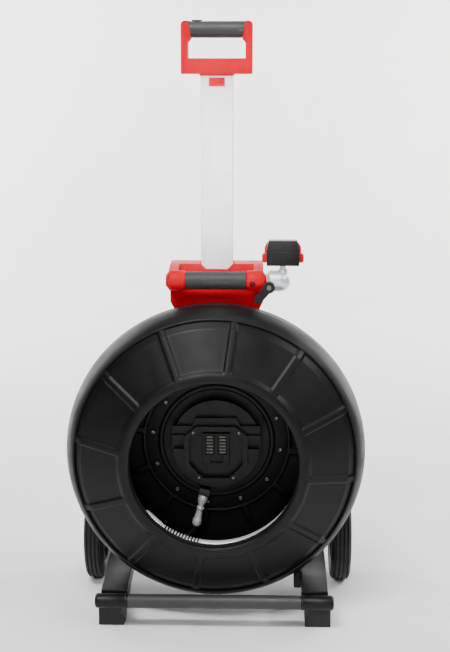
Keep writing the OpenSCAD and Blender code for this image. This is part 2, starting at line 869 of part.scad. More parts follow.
module lower_grip() {
    color(grip_black) difference() {
        rod_x(-grip_half, grip_half, grip_y, grip_z, lower_grip_r);
        rod_x(-grip_half - 1, grip_half + 1, grip_y, grip_z, grip_core_r);
    }
}

// ---- telescoping handle ----

module inner_tube() {
    color(silver) difference() {
        translate([0, tube_y, tube_z0]) linear_extrude(tube_z1 - tube_z0) difference() {
            rounded(tube_w, tube_d, 2.5);
            rounded(tube_w - 2 * tube_wall, tube_d - 2 * tube_wall, 1.5);
        }
        xz_plate(tube_y - tube_d, tube_y) translate([-14.5, 935]) square([29, 16]);
    }
}

module handle_frame() {
    y0 = tube_y - handle_depth / 2;
    y1 = tube_y + handle_depth / 2;
    mid_z = (handle_z0 + handle_z1) / 2;
    color(body_red) difference() {
        union() {
            difference() {
                xz_plate(y0, y1) {
                    translate([0, mid_z]) rounded(2 * handle_half, handle_z1 - handle_z0, 7);
                    translate([0, handle_z0 + 15]) rounded(2 * handle_half, 30, 2.5);
                }
                translate([-handle_open, y0 - 1, handle_z0 + 27])
                    cube([2 * handle_open, handle_depth + 2, 100]);
            }
            both_sides() xz_plate(y0 + 5, y1 - 5) polygon([[handle_open - 7, upper_grip_z - 14],
                [handle_open + 1, upper_grip_z - 14], [handle_open + 1, upper_grip_z - 24]]);
            rod_x(-handle_open - 1, handle_open + 1, tube_y, upper_grip_z, handle_core_r);
            translate([0, tube_y, handle_z0 - collar_h]) linear_extrude(collar_h + 1)
                difference() {
                    rounded(tube_w + 4, tube_d + 4, 3);
                    square([tube_w - 1, tube_d - 1], center = true);
                }
            translate([-13.5, tube_y - tube_d / 2 + 0.2, 936.5]) cube([27, 5, 13]);
            translate([-13.5, tube_y - tube_d / 2 + 3, 936.5]) cube([27, 4, 36]);
        }
        translate([0, tube_y, handle_z0 - collar_h - 1])
            linear_extrude(tube_z1 - handle_z0 + collar_h + 1)
            difference() {
                square([tube_w, tube_d], center = true);
                square([tube_w - 2 * tube_wall - 1, tube_d - 2 * tube_wall - 1], center = true);
            }
        translate([button_x, tube_y, spring_z0]) cylinder(r = plunger_r + 1.2, h = 30);
    }
}

module upper_grip() {
    color(grip_black) difference() {
        rod_x(-handle_open, handle_open, tube_y, upper_grip_z, upper_grip_r);
        rod_x(-handle_open - 1, handle_open + 1, tube_y, upper_grip_z, handle_core_r);
        translate([button_x - button_l / 2 - 0.6, tube_y - button_w / 2 - 0.6, upper_grip_z + 5])
            cube([button_l + 1.2, button_w + 1.2, 20]);
        both_sides() xz_plate(tube_y - handle_depth / 2 + 4, tube_y + handle_depth / 2 - 4)
            polygon([[handle_open - 8, upper_grip_z - 13.5], [handle_open + 1, upper_grip_z - 13.5],
                [handle_open + 1, upper_grip_z - 24], [handle_open - 8, upper_grip_z - 24]]);
    }
}

button_top = upper_grip_z + upper_grip_r + button_proud;

module release_button() {
    color(grip_black) {
        translate([button_x, tube_y, button_top - 1.9 - 0.8]) linear_extrude(2.7)
            rounded(button_l, button_w, 4);
        translate([button_x, tube_y, plunger_z0]) cylinder(r = plunger_r, h = button_top - plunger_z0 - 1);
    }
}

module release_spring() {
    color(steel) translate([button_x, tube_y, spring_z0]) difference() {
        cylinder(r = plunger_r - 0.2, h = plunger_z0 - spring_z0);
        translate([0, 0, -1]) cylinder(r = plunger_r - 1.4, h = plunger_z0 - spring_z0 + 2);
    }
}

// ---- monitor arm ----

module mount_arm() {
    color(silver) difference() {
        union() {
            rod_x(pivot_in_x + 1, arm_x0 + 1, grip_y, grip_z, pivot_r);
            about_x(grip_y, grip_z) rotate_extrude() polygon(concat(
                [[0, arm_x0], [12, arm_x0], [arm_r, arm_x0 + 6]],
                [for (a = [0:10:80]) [arm_r * cos(a), arm_end_x + arm_r * sin(a)]],
                [[0, arm_end_x + arm_r]]));
            translate([post_x, grip_y, grip_z]) cylinder(r1 = 10, r2 = 8, h = arm_boss_top - grip_z);
            rod_y(lever_x, lever_face_y + 0.3, grip_y, lever_z, lever_boss_r);
            rod_y(lever_x, lever_face_y - lever_t, grip_y, lever_z, 3);
        }
        translate([post_x, grip_y, post_z0 - 1]) cylinder(r = post_r + fit_gap, h = 30);
    }
}

module clamp_lever() {
    y0 = lever_face_y - lever_t;
    tip = [lever_x + lever_tip_dx, lever_z + lever_tip_dz];
    reach = norm([lever_tip_dx, lever_tip_dz]);
    swing = atan2(lever_tip_dz, lever_tip_dx);
    color(grip_black) difference() {
        union() {
            rod_y(lever_x, y0, lever_face_y, lever_z, 10);
            xz_plate(y0 + 0.6, y0 + 7.6) translate([lever_x, lever_z]) rotate(swing)
                translate([0, -lever_w / 2]) square([reach, lever_w]);
            rod_y(tip[0], y0 + 0.6, y0 + 7.6, tip[1], lever_w / 2);
        }
        rod_y(lever_x, y0 - 1, lever_face_y + 1, lever_z, 3 + fit_gap);
    }
}

module swivel_post() {
    color(silver) translate([post_x, grip_y, post_z0]) {
        cylinder(r = post_r, h = dock_z0 + 6 - post_z0);
        translate([0, 0, arm_boss_top - post_z0 + 0.4]) cylinder(r = 7, h = 2.4);
    }
}

module monitor_dock() {
    mid_y = (dock_y0 + dock_y1) / 2;
    left = post_x - dock_half;
    color(grip_black) difference() {
        union() {
            intersection() {
                yz_plate(left, left + 2 * dock_half) polygon([[dock_y0, dock_z0 + 2],
                    [dock_y0 + 2, dock_z0], [dock_y1, dock_z0], [dock_y1, dock_z1],
                    [dock_y0 + 9, dock_z1], [dock_y0, dock_z1 - 7]]);
                xz_plate(dock_y0 - 1, dock_y1 + 1) translate([post_x, 0])
                    polygon(mirrored([[dock_half, dock_z0], [dock_half, dock_shoulder_z],
                        [dock_top_half, dock_z1]]));
            }
            translate([left - 4, dock_y1 - eps, dock_z0 + 14]) cube([2 * dock_half + 8, 4, 24]);
        }
        translate([post_x, grip_y, dock_z0 - 1]) cylinder(r = post_r, h = 7);
        for (side = [-1, 1])
            translate([post_x + side * (dock_half - 5) - 8, mid_y - 6.5, dock_z0 + 4.5])
                cube([16, 13, 17]);
    }
}

module dock_button() {
    mid_y = (dock_y0 + dock_y1) / 2;
    x0 = post_x + dock_half - 8;
    color(body_red) {
        translate([x0, mid_y - 6, dock_z0 + 5]) cube([8 + side_button_out - 2, 12, 16]);
        translate([x0 + 6 + side_button_out, mid_y - 6, dock_z0 + 7]) cube([2, 12, 12]);
    }
}

module dock_right_button() { dock_button(); }

module dock_left_button() {
    translate([2 * post_x, 0, 0]) mirror([1, 0, 0]) dock_button();
}

drum_front_shell();
drum_rear_shell();
drum_seam_screws();
drum_hub();
hub_screws();
drum_bearings();
slip_ring_rotor();
cable_outlet();
cable_connector();
connector_nut();
push_cable_ends();
push_cable_coil();
spring_tail();
spring_flex();
camera_head();
camera_window();
spine_front_cover();
spine_rear_cover();
cover_screws();
guide_tube();
grip_bracket();
lower_grip();
spindle();
spindle_nut();
spindle_screws();
slip_ring_stator();
dock_base();
dock_frame();
contact_block();
dock_contacts();
dock_screws();
base_housing();
left_rail();
right_rail();
front_bar();
bar_grip();
bar_end_sleeves();
left_foot();
right_foot();
axle();
axle_clips();
drum_rub_block();
left_tyre();
left_rim();
left_wheel_cap();
right_tyre();
right_rim();
right_wheel_cap();
inner_tube();
handle_frame();
upper_grip();
release_button();
release_spring();
mount_arm();
clamp_lever();
swivel_post();
monitor_dock();
dock_left_button();
dock_right_button();
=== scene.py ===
import json
import math

import bmesh
import bpy
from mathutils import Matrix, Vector


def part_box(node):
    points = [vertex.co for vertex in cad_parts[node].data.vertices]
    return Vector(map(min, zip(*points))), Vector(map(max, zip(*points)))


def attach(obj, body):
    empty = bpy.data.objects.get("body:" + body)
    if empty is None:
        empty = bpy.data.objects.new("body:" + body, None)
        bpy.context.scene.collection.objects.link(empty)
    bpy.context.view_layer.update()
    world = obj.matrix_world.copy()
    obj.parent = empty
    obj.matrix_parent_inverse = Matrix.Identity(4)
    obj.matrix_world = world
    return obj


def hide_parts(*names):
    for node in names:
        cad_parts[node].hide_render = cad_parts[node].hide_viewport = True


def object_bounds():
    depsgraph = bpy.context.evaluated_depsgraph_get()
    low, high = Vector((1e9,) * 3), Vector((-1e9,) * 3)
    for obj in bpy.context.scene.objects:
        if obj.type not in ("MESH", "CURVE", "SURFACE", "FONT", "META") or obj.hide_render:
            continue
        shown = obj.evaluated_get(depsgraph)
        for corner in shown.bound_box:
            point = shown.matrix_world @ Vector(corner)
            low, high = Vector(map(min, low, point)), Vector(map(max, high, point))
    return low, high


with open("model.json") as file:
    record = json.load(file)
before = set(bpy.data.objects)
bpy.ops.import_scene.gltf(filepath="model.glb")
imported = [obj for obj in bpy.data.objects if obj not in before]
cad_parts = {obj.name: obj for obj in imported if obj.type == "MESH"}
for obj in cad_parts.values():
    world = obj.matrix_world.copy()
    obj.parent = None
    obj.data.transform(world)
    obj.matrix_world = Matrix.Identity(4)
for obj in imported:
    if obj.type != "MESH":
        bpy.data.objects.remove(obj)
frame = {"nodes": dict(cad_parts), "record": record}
cad_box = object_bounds()
MM = 0.001
TAU = 2 * math.pi

# ---------------------------------------------------------------- places, from the frame

front_lo, front_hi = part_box("drum_front_shell")
pack_lo, pack_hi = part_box("push_cable_coil")
AXIS_Z = (front_lo.z + front_hi.z) / 2
tyre_lo, tyre_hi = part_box("right_tyre")
TYRE_X, AXLE_Y, AXLE_Z = (tyre_lo + tyre_hi) / 2


# ---------------------------------------------------------------- camera

def make_camera():
    """Same angle as the reference: a long lens a little above and to the right."""
    target = Vector((16, -50.5, 521.5)) * MM
    distance, elevation, azimuth = 2.4, math.radians(11.8), math.radians(1.55)
    away = Vector((math.sin(azimuth) * math.cos(elevation),
                   -math.cos(azimuth) * math.cos(elevation), math.sin(elevation)))
    data = bpy.data.cameras.new("camera")
    data.lens, data.sensor_width = 75.15, 36
    camera = bpy.data.objects.new("camera", data)
    camera.location = target + away * distance
    camera.rotation_euler = (-away).to_track_quat("-Z", "Y").to_euler()
    bpy.context.scene.collection.objects.link(camera)
    bpy.context.scene.camera = camera


make_camera()


# ---------------------------------------------------------------- points about the drum's axis

def drum_point(turn, radius, y):
    """turn is in degrees from straight down toward -X; radius and y are in metres."""
    a = math.radians(turn)
    return Vector((-radius * math.sin(a), y, AXIS_Z - radius * math.cos(a)))


def smooth_route(points, steps):
    """Catmull-Rom points through a route."""
    out, last = [], len(points) - 1
    for i in range(last):
        a, b, c, d = (points[j] for j in (max(i - 1, 0), i, i + 1, min(i + 2, last)))
        for s in range(steps):
            t = s / steps
            out.append(0.5 * (2 * b + (c - a) * t + (2 * a - 5 * b + 4 * c - d) * t * t
                              + (3 * b - a - 3 * c + d) * t ** 3))
    return out + [points[last]]


# ---------------------------------------------------------------- the push cable

CABLE_D = 0.010
PITCH = 0.0102
LAYERS, TURNS = 7, 4
PACK_IN_R = (pack_hi.x - pack_lo.x) / 2 - CABLE_D / 2 - (LAYERS - 1) * PITCH
PACK_REAR_Y = pack_hi.y - CABLE_D / 2
spring_lo, spring_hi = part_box("spring_flex")
SPRING_Y = (spring_lo.y + spring_hi.y) / 2
SPRING_ARC_R = 0.1644
SPRING_R = (spring_hi.y - spring_lo.y) / 2
# Turns, in degrees, at which the camera head, the open coils and the wound tail end
HEAD_TIP, HEAD_ROOT, FLEX_END, TAIL_END = 51, 36.3, 8.5, -58
# The free ends of the cable as (turn in degrees, radius, y)
LEAD = [(13.5, .160, -.034), (14.5, .173, -.034), (18, .188, -.035), (25, .202, -.038),
        (35, .213, -.043), (44, .221, -.049), (54, .227, -.055), (65, .232, -.061),
        (77, .236, -.067), (90, .239, -.073), (104, .241, -.079)]
TAIL = [(-104, .180, -.113), (-96, .178, -.1135), (-88, .1745, -.1145), (-80, .170, -.116),
        (-72, .1665, -.117), (-65, .1648, -.117), (-58, .1644, -.117)]


def pack_points():
    """The wound part: layers from the outside in, each turn beside the last."""
    start, finish = 110, 250
    sweep = finish - start + 360 * (LAYERS * TURNS - 1)
    per_turn = 40
    count = int(sweep / 360 * per_turn)
    points = []
    for i in range(count + 1):
        turns = i / count * (LAYERS * TURNS)
        layer = min(int(turns / TURNS), LAYERS - 1)
        along = turns - layer * TURNS
        step = min(1, max(0, (along - (TURNS - 0.25)) / 0.25)) if layer < LAYERS - 1 else 0
        ease = step * step * (3 - 2 * step)
        radius = PACK_IN_R + (LAYERS - 1 - layer - ease) * PITCH
        side = min(along, TURNS - 1) * PITCH
        y = PACK_REAR_Y - (side if layer % 2 == 0 else (TURNS - 1) * PITCH - side)
        wave = 0.0003 * math.sin(turns * 5.1 + layer)
        points.append(drum_point(start + sweep * i / count, radius + wave, y))
    return points


def make_cable():
    lead = smooth_route([drum_point(*p) for p in LEAD], 3)
    tail = smooth_route([drum_point(*p) for p in TAIL], 3)
    inside = [drum_point(turn, SPRING_ARC_R, SPRING_Y) for turn in range(TAIL_END + 3, 37, 3)]
    line = lead + pack_points() + tail + inside
    length = sum((b - a).length for a, b in zip(line, line[1:]))
    curve = bpy.data.curves.new("push_cable", "CURVE")
    curve.dimensions = "3D"
    curve.bevel_depth, curve.bevel_resolution = 1.0, 3
    curve.use_fill_caps = True
    spline = curve.splines.new("POLY")
    spline.points.add(len(line) - 1)
    for p, co in zip(spline.points, line):
        p.co, p.radius = (*co, 1), CABLE_D / 2
    cable = bpy.data.objects.new("push_cable", curve)
    bpy.context.scene.collection.objects.link(cable)
    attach(cable, "drum")
    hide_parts("push_cable_ends", "push_cable_coil")
    return cable, line[0], length


push_cable, cable_start, cable_length = make_cable()


# ---------------------------------------------------------------- materials

class Look:
    """A node material built up step by step on one Principled shader."""

    def __init__(self, name):
        self.material = bpy.data.materials.new(name)
        self.material.use_nodes = True
        self.tree = self.material.node_tree
        self.shader = self.tree.nodes["Principled BSDF"]
        self.place = self.add("ShaderNodeTexCoord").outputs["Object"]

    def add(self, kind, **values):
        node = self.tree.nodes.new(kind)
        for key, value in values.items():
            if key in node.inputs:
                self.feed(node.inputs[key], value)
            else:
                setattr(node, key, value)
        return node

    def feed(self, socket, value):
        if isinstance(value, bpy.types.NodeSocket):
            self.tree.links.new(value, socket)
        else:
            socket.default_value = value

    def scaled(self, size):
        mapping = self.add("ShaderNodeMapping")
        self.feed(mapping.inputs["Vector"], self.place)
        self.feed(mapping.inputs["Scale"], size)
        return mapping.outputs["Vector"]

    def noise(self, scale, detail=4.0, roughness=0.55, stretch=(1, 1, 1)):
        node = self.add("ShaderNodeTexNoise", Scale=scale, Detail=detail, Roughness=roughness)
        self.feed(node.inputs["Vector"], self.scaled(stretch))
        return node.outputs["Fac"]

    def remap(self, value, low, high, new_low, new_high):
        node = self.add("ShaderNodeMapRange")
        for key, number in (("Value", value), ("From Min", low), ("From Max", high),
                            ("To Min", new_low), ("To Max", new_high)):
            self.feed(node.inputs[key], number)
        return node.outputs["Result"]

    def math(self, operation, a, b):
        node = self.add("ShaderNodeMath", operation=operation)
        self.feed(node.inputs[0], a)
        self.feed(node.inputs[1], b)
        return node.outputs[0]

    def mix(self, factor, a, b):
        node = self.add("ShaderNodeMix", data_type="RGBA")
        self.feed(node.inputs[0], factor)
        self.feed(node.inputs[6], (*a, 1) if isinstance(a, tuple) else a)
        self.feed(node.inputs[7], (*b, 1) if isinstance(b, tuple) else b)
        return node.outputs[2]

    def bump(self, height, strength, distance, after=None):
        node = self.add("ShaderNodeBump", Strength=strength, Distance=distance)
        self.feed(node.inputs["Height"], height)
        if after is not None:
            self.feed(node.inputs["Normal"], after)
        return node.outputs["Normal"]

    def edges(self, low=0.52, high=0.62):
        point = self.add("ShaderNodeNewGeometry").outputs["Pointiness"]
        return self.remap(point, low, high, 0.0, 1.0)

    def finish(self, color, rough, normal=None, **sockets):
        self.feed(self.shader.inputs["Base Color"], color)
        self.feed(self.shader.inputs["Roughness"], rough)
        if normal is not None:
            self.feed(self.shader.inputs["Normal"], normal)
        for name, value in sockets.items():
            self.feed(self.shader.inputs[name.replace("_", " ")], value)
        return self.material


def lighter(color, factor):
    """A paler, or for a factor under 1 a darker, shade."""
    return tuple(min(1.0, c * factor) for c in color)


def moulded(name, color, rough, grain=900.0, grain_depth=0.00004, wear=1.6, scuff=0.35,
            gloss=0.3):
    """Moulded plastic: a fine texture, slow colour drift, dusty scuffs and paler edges."""
    look = Look(name)
    drift = look.remap(look.noise(6.0), 0.35, 0.65, 0.0, 1.0)
    base = look.mix(drift, lighter(color, 0.88), lighter(color, 1.14))
    scratches = look.remap(look.noise(160.0, 2.0, 0.5, (1.0, 0.12, 0.12)), 0.62, 0.72, 0.0, scuff)
    patches = look.remap(look.noise(22.0), 0.50, 0.72, 0.0, 1.0)
    scuffed = look.mix(look.math("MULTIPLY", scratches, patches), base, lighter(color, 2.2))
    pale_edged = look.mix(look.math("MULTIPLY", look.edges(), 0.5), scuffed, lighter(color, wear))
    shine = look.remap(look.noise(30.0), 0.3, 0.7, rough - 0.06, rough + 0.07)
    fine = look.bump(look.noise(grain, 3.0), 0.5, grain_depth)
    soft = look.bump(look.noise(55.0, 2.0), 0.12, 0.0004, fine)
    return look.finish(pale_edged, shine, soft, Specular_IOR_Level=gloss)


def drum_look(name, color, rough):
    """Drum plastic: the moulded look plus faint turning marks round the drum's axis, and a painted
    highlight along its edges.
    """
    look = Look(name)
    split = look.add("ShaderNodeSeparateXYZ")
    look.feed(split.inputs[0], look.place)
    dz = look.math("SUBTRACT", split.outputs["Z"], AXIS_Z)
    radius = look.math("SQRT", look.math("ADD", look.math("MULTIPLY", dz, dz),
                                         look.math("MULTIPLY", split.outputs["X"],
                                                   split.outputs["X"])), 0.0)
    rings = look.add("ShaderNodeTexNoise", noise_dimensions="1D", Scale=420.0, Detail=3.0)
    look.feed(rings.inputs["W"], radius)
    drift = look.remap(look.noise(5.0), 0.35, 0.65, 0.0, 1.0)
    base = look.mix(drift, lighter(color, 0.86), lighter(color, 1.16))
    streak = look.remap(rings.outputs["Fac"], 0.35, 0.7, 0.0, 0.35)
    base = look.mix(streak, base, lighter(color, 1.5))
    scratches = look.remap(look.noise(120.0, 2.0, 0.5, (0.15, 1.0, 1.0)), 0.63, 0.72, 0.0, 0.5)
    patches = look.remap(look.noise(14.0), 0.52, 0.7, 0.0, 1.0)
    base = look.mix(look.math("MULTIPLY", scratches, patches), base, lighter(color, 2.4))
    # Edges nine times paler: a painted highlight standing in for the lit crest lines of the ribs
    # and pocket edges.
    pale_edged = look.mix(look.math("MULTIPLY", look.edges(), 0.55), base, lighter(color, 9.0))
    shine = look.remap(look.noise(26.0), 0.3, 0.7, rough - 0.06, rough + 0.08)
    fine = look.bump(look.noise(700.0, 3.0), 0.5, 0.00005)
    turned = look.bump(rings.outputs["Fac"], 0.25, 0.00006, fine)
    return look.finish(pale_edged, shine, turned, Specular_IOR_Level=0.18)


def rubber(name, color, rough=0.72):
    """Grip rubber: matte, finely pebbled, with a dusty bloom."""
    look = Look(name)
    bloom = look.remap(look.noise(12.0), 0.4, 0.7, 0.0, 0.6)
    base = look.mix(bloom, color, lighter(color, 1.5))
    pale_edged = look.mix(look.math("MULTIPLY", look.edges(), 0.5), base, lighter(color, 1.8))
    cells = look.add("ShaderNodeTexVoronoi", Scale=650.0)
    look.feed(cells.inputs["Vector"], look.place)
    pebbles = look.bump(cells.outputs["Distance"], 0.35, 0.00008)
    shine = look.remap(look.noise(40.0), 0.3, 0.7, rough - 0.06, rough + 0.08)
    return look.finish(pale_edged, shine, pebbles, Specular_IOR_Level=0.4)


def metal(name, color, rough, metallic=1.0):
    """Bare metal: brushed or turned lines, smudges and small dents."""
    look = Look(name)
    smudge = look.remap(look.noise(18.0), 0.4, 0.7, 0.0, 1.0)
    base = look.mix(smudge, color, lighter(color, 0.8))
    pale_edged = look.mix(look.math("MULTIPLY", look.edges(), 0.6), base, lighter(color, 1.25))
    lines = look.noise(300.0, 2.0, 0.6)
    shine = look.remap(lines, 0.3, 0.7, rough * 0.75, rough * 1.35)
    return look.finish(pale_edged, shine, look.bump(lines, 0.35, 0.00002), Metallic=metallic)


def painted_silver(name, color, rough, metallic):
    """Cast metal under satin silver paint, with a sandy grain and chipped edges."""
    look = Look(name)
    drift = look.remap(look.noise(25.0), 0.35, 0.65, 0.0, 1.0)
    base = look.mix(drift, lighter(color, 0.9), lighter(color, 1.06))
    pale_edged = look.mix(look.math("MULTIPLY", look.edges(0.53, 0.64), 0.5), base, (0.42, 0.42, 0.43))
    shine = look.remap(look.noise(60.0), 0.3, 0.7, rough - 0.05, rough + 0.07)
    grain = look.bump(look.noise(420.0, 3.0), 0.35, 0.00008)
    return look.finish(pale_edged, shine, grain, Metallic=metallic)


def window_glass(name):
    """Dark sapphire window: smooth, with a faint smear."""
    look = Look(name)
    smear = look.remap(look.noise(60.0), 0.4, 0.7, 0.0, 1.0)
    color = look.mix(smear, (0.010, 0.013, 0.022), (0.03, 0.035, 0.05))
    shine = look.remap(look.noise(90.0), 0.3, 0.7, 0.03, 0.12)
    return look.finish(color, shine, look.bump(look.noise(200.0), 0.05, 0.00001), Coat_Weight=1.0,
                       Coat_Roughness=0.04)


DRUM_BLACK = (0.0042, 0.0042, 0.0044)
LOOKS = {
    "drum_plastic": drum_look("drum_plastic", DRUM_BLACK, 0.42),
    "red_plastic": moulded("red_plastic", (0.54, 0.0, 0.009), 0.34, 700.0, 0.00003, 1.25, 0.25,
                           0.04),
    "grip_rubber": rubber("grip_rubber", (0.026, 0.026, 0.028), 0.48),
    "black_plastic": moulded("black_plastic", (0.0045, 0.0045, 0.0048), 0.38, 800.0, 0.00005,
                             2.2, gloss=0.2),
    "silver_tube": painted_silver("silver_tube", (0.98, 0.975, 0.98), 0.40, 0.0),
    "silver_casting": painted_silver("silver_casting", (0.72, 0.75, 0.78), 0.32, 0.55),
    "zinc_steel": metal("zinc_steel", (0.15, 0.15, 0.155), 0.36),
    "bright_steel": metal("bright_steel", (0.90, 0.90, 0.91), 0.36, metallic=0.5),
    "contact_brass": metal("contact_brass", (0.13, 0.125, 0.11), 0.42),
    "cable_jacket": moulded("cable_jacket", (0.006, 0.006, 0.0062), 0.36, 500.0, 0.00003, 1.8, 0.6),
    "tyre_rubber": rubber("tyre_rubber", (0.008, 0.008, 0.0084), 0.66),
    "lens_glass": window_glass("lens_glass"),
}
push_cable.data.materials.append(LOOKS["cable_jacket"])


# ---------------------------------------------------------------- mesh helpers

def add_piece(name, mesh, body, slot, *replaced, sharp=38):
    """Cleans a mesh, gives it its look and lets it ride on a body."""
    work = bmesh.new()
    work.from_mesh(mesh)
    bmesh.ops.remove_doubles(work, verts=work.verts, dist=1e-6)
    bmesh.ops.dissolve_degenerate(work, edges=work.edges, dist=1e-7)
    bmesh.ops.recalc_face_normals(work, faces=work.faces)
    work.to_mesh(mesh)
    work.free()
    mesh.shade_smooth()
    mesh.set_sharp_from_angle(angle=math.radians(sharp))
    mesh.materials.append(LOOKS[slot])
    piece = bpy.data.objects.new(name, mesh)
    bpy.context.scene.collection.objects.link(piece)
    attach(piece, body)
    if replaced:
        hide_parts(*replaced)
    return piece


def from_data(name, points, faces):
    mesh = bpy.data.meshes.new(name)
    mesh.from_pydata([tuple(p) for p in points], [], faces)
    mesh.update()
    return mesh


def grid_mesh(name, rows, close_rows=False, close_columns=True):
    """A skin over rows of points, joined at the ends where asked, and capped where it isn't."""
    n, m = len(rows), len(rows[0])
    points = [p for row in rows for p in row]
    faces = []
    for i in range(n if close_rows else n - 1):
        for k in range(m if close_columns else m - 1):
            j, q = (i + 1) % n, (k + 1) % m
            faces.append((i * m + k, j * m + k, j * m + q, i * m + q))
    if not close_rows and close_columns:
        faces.append(tuple(range(m)))
        faces.append(tuple((n - 1) * m + k for k in range(m)))
    return from_data(name, points, faces)


def rounded(outline, cuts, steps=4):
    """A closed outline with each corner replaced by a short curve, cut back by its own length."""
    out, n = [], len(outline)
    if not isinstance(cuts, (list, tuple)):
        cuts = [cuts] * n
    for i, corner in enumerate(outline):
        before, here, after = (Vector(outline[j]) for j in (i - 1, i, (i + 1) % n))
        reach = min(cuts[i], (before - here).length * 0.48, (after - here).length * 0.48)
        if reach <= 0 or (before - here).length < 1e-9:
            out.append(tuple(corner))
            continue
        a = here + (before - here).normalized() * reach
        b = here + (after - here).normalized() * reach
        for s in range(steps + 1):
            t = s / steps
            out.append(tuple(a * (1 - t) ** 2 + here * 2 * t * (1 - t) + b * t * t))
    return out


def spun_point(axis, centre, radius, along, angle):
    """A point at a radius and angle about an axis through centre, at a place along it."""
    u, v = radius * math.sin(angle), radius * math.cos(angle)
    if axis == "X":
        return Vector((along, centre[1] + u, centre[2] + v))
    if axis == "Y":
        return Vector((centre[0] + u, along, centre[2] + v))
    return Vector((centre[0] + u, centre[1] + v, along))


def lathe(name, profile, axis, centre, body, slot, *replaced, segments=96, sharp=38):
    """Turns a profile of (radius, along) points, in metres, about an axis."""
    rows = [[spun_point(axis, centre, r, s, TAU * k / segments) for k in range(segments)]
            for r, s in profile]
    mesh = grid_mesh(name, rows, close_rows=True)
    return add_piece(name, mesh, body, slot, *replaced, sharp=sharp)


def plate(outline, axis, low, high):
    """Points and faces of a flat outline run along an axis from low to high."""
    def at(p, s):
        return {"X": (s, p[0], p[1]), "Y": (p[0], s, p[1]), "Z": (p[0], p[1], s)}[axis]
    return [[at(p, low) for p in outline], [at(p, high) for p in outline]]


def bevel_mesh(mesh, width, segments=3):
    """Rounds every edge of a mesh that turns by more than 30 degrees."""
    work = bmesh.new()
    work.from_mesh(mesh)
    bmesh.ops.remove_doubles(work, verts=work.verts, dist=1e-6)
    bmesh.ops.recalc_face_normals(work, faces=work.faces)
    limit = math.radians(30)
    sharp = [e for e in work.edges if len(e.link_faces) == 2 and e.calc_face_angle(0) > limit]
    bmesh.ops.bevel(work, geom=sharp, offset=width, segments=segments, profile=0.5,
                    affect="EDGES", clamp_overlap=True)
    work.to_mesh(mesh)
    work.free()
    return mesh


def sweep(points, radius, sides):
    """Rows of a round tube along points; radius is a number or one for each point."""
    rows, side = [], None
    for i, p in enumerate(points):
        ahead = (points[min(i + 1, len(points) - 1)] - points[max(i - 1, 0)]).normalized()
        if side is None:
            side = ahead.cross(Vector((0.1, 1, 0.2))).normalized()
        side = (side - ahead * side.dot(ahead)).normalized()
        up = ahead.cross(side)
        r = radius[i] if isinstance(radius, list) else radius
        rows.append([p + r * (math.cos(TAU * k / sides) * side + math.sin(TAU * k / sides) * up)
                     for k in range(sides)])
    return rows


def joined(name, meshes):
    """One mesh from several."""
    work = bmesh.new()
    for mesh in meshes:
        work.from_mesh(mesh)
    out = bpy.data.meshes.new(name)
    work.to_mesh(out)
    work.free()
    return out


def soften(node, width, segments=3):
    """A carried-over CAD node: its own shape, with its sharp edges rounded."""
    piece = frame["nodes"][node]
    slot = next(s["material_slot"] for s in frame["record"]["subparts"] if s["node"] == node)
    piece.data.materials.clear()
    piece.data.materials.append(LOOKS[slot])
    if width <= 0:
        return
    weld = piece.modifiers.new("weld", "WELD")
    weld.merge_threshold = 1e-6
    flat = piece.modifiers.new("flat", "DECIMATE")
    flat.decimate_type, flat.angle_limit = "DISSOLVE", math.radians(0.6)
    round_off = piece.modifiers.new("round", "BEVEL")
    round_off.width, round_off.segments = width, segments
    round_off.limit_method, round_off.angle_limit = "ANGLE", math.radians(32)
    round_off.use_clamp_overlap = True
    round_off.harden_normals = False
    smooth = piece.modifiers.new("smooth", "WEIGHTED_NORMAL")
    smooth.keep_sharp = False


# ---------------------------------------------------------------- drum shells

RIBS = 12
RIB_TURN = 8
RIB_EDGES = ((0, 0), (3.6, 0), (4.2, 0.03), (4.8, 0.14), (7.4, 0.88), (8, 0.97), (8.8, 1))


def shell_columns(radius):
    """Angles and relief for one ring: parallel-sided ribs with pockets between them."""
    columns, between = [], 9
    for rib in range(RIBS):
        middle = math.radians(RIB_TURN + rib * 360 / RIBS)
        half = math.radians(180 / RIBS)
        steps = [(math.asin(w * MM / radius), depth) for w, depth in RIB_EDGES]
        reach = steps[-1][0]
        gap = [(reach + (half - reach) * (k + 1) / between, 1) for k in range(between)]
        one_side = steps + gap
        columns += [(middle - a, d) for a, d in reversed(one_side[1:-1])]
        columns += [(middle + a, d) for a, d in one_side]
    return columns


def ribbed_shell(name, stations, node):
    """stations are (radius, y, relief) in mm: relief cuts the pockets back toward +Y."""
    rows = []
    for r, y, relief in stations:
        ring = shell_columns(r * MM)
        rows.append([Vector((r * MM * math.sin(a), (y + relief * d) * MM,
                             AXIS_Z + r * MM * math.cos(a))) for a, d in ring])
    mesh = grid_mesh(name, rows, close_rows=True)
    return add_piece(name, mesh, "drum", "drum_plastic", node, sharp=50)


def cone_y(r):
    """Depth in mm of the front face at radius r."""
    return -176.1 + (r - 161) * (45.6 / 88)


BEVEL_IN_R = 233


def bevel_y(r):
    """Depth in mm of the bevel between the face and the rim."""
    return cone_y(BEVEL_IN_R) + (r - BEVEL_IN_R)


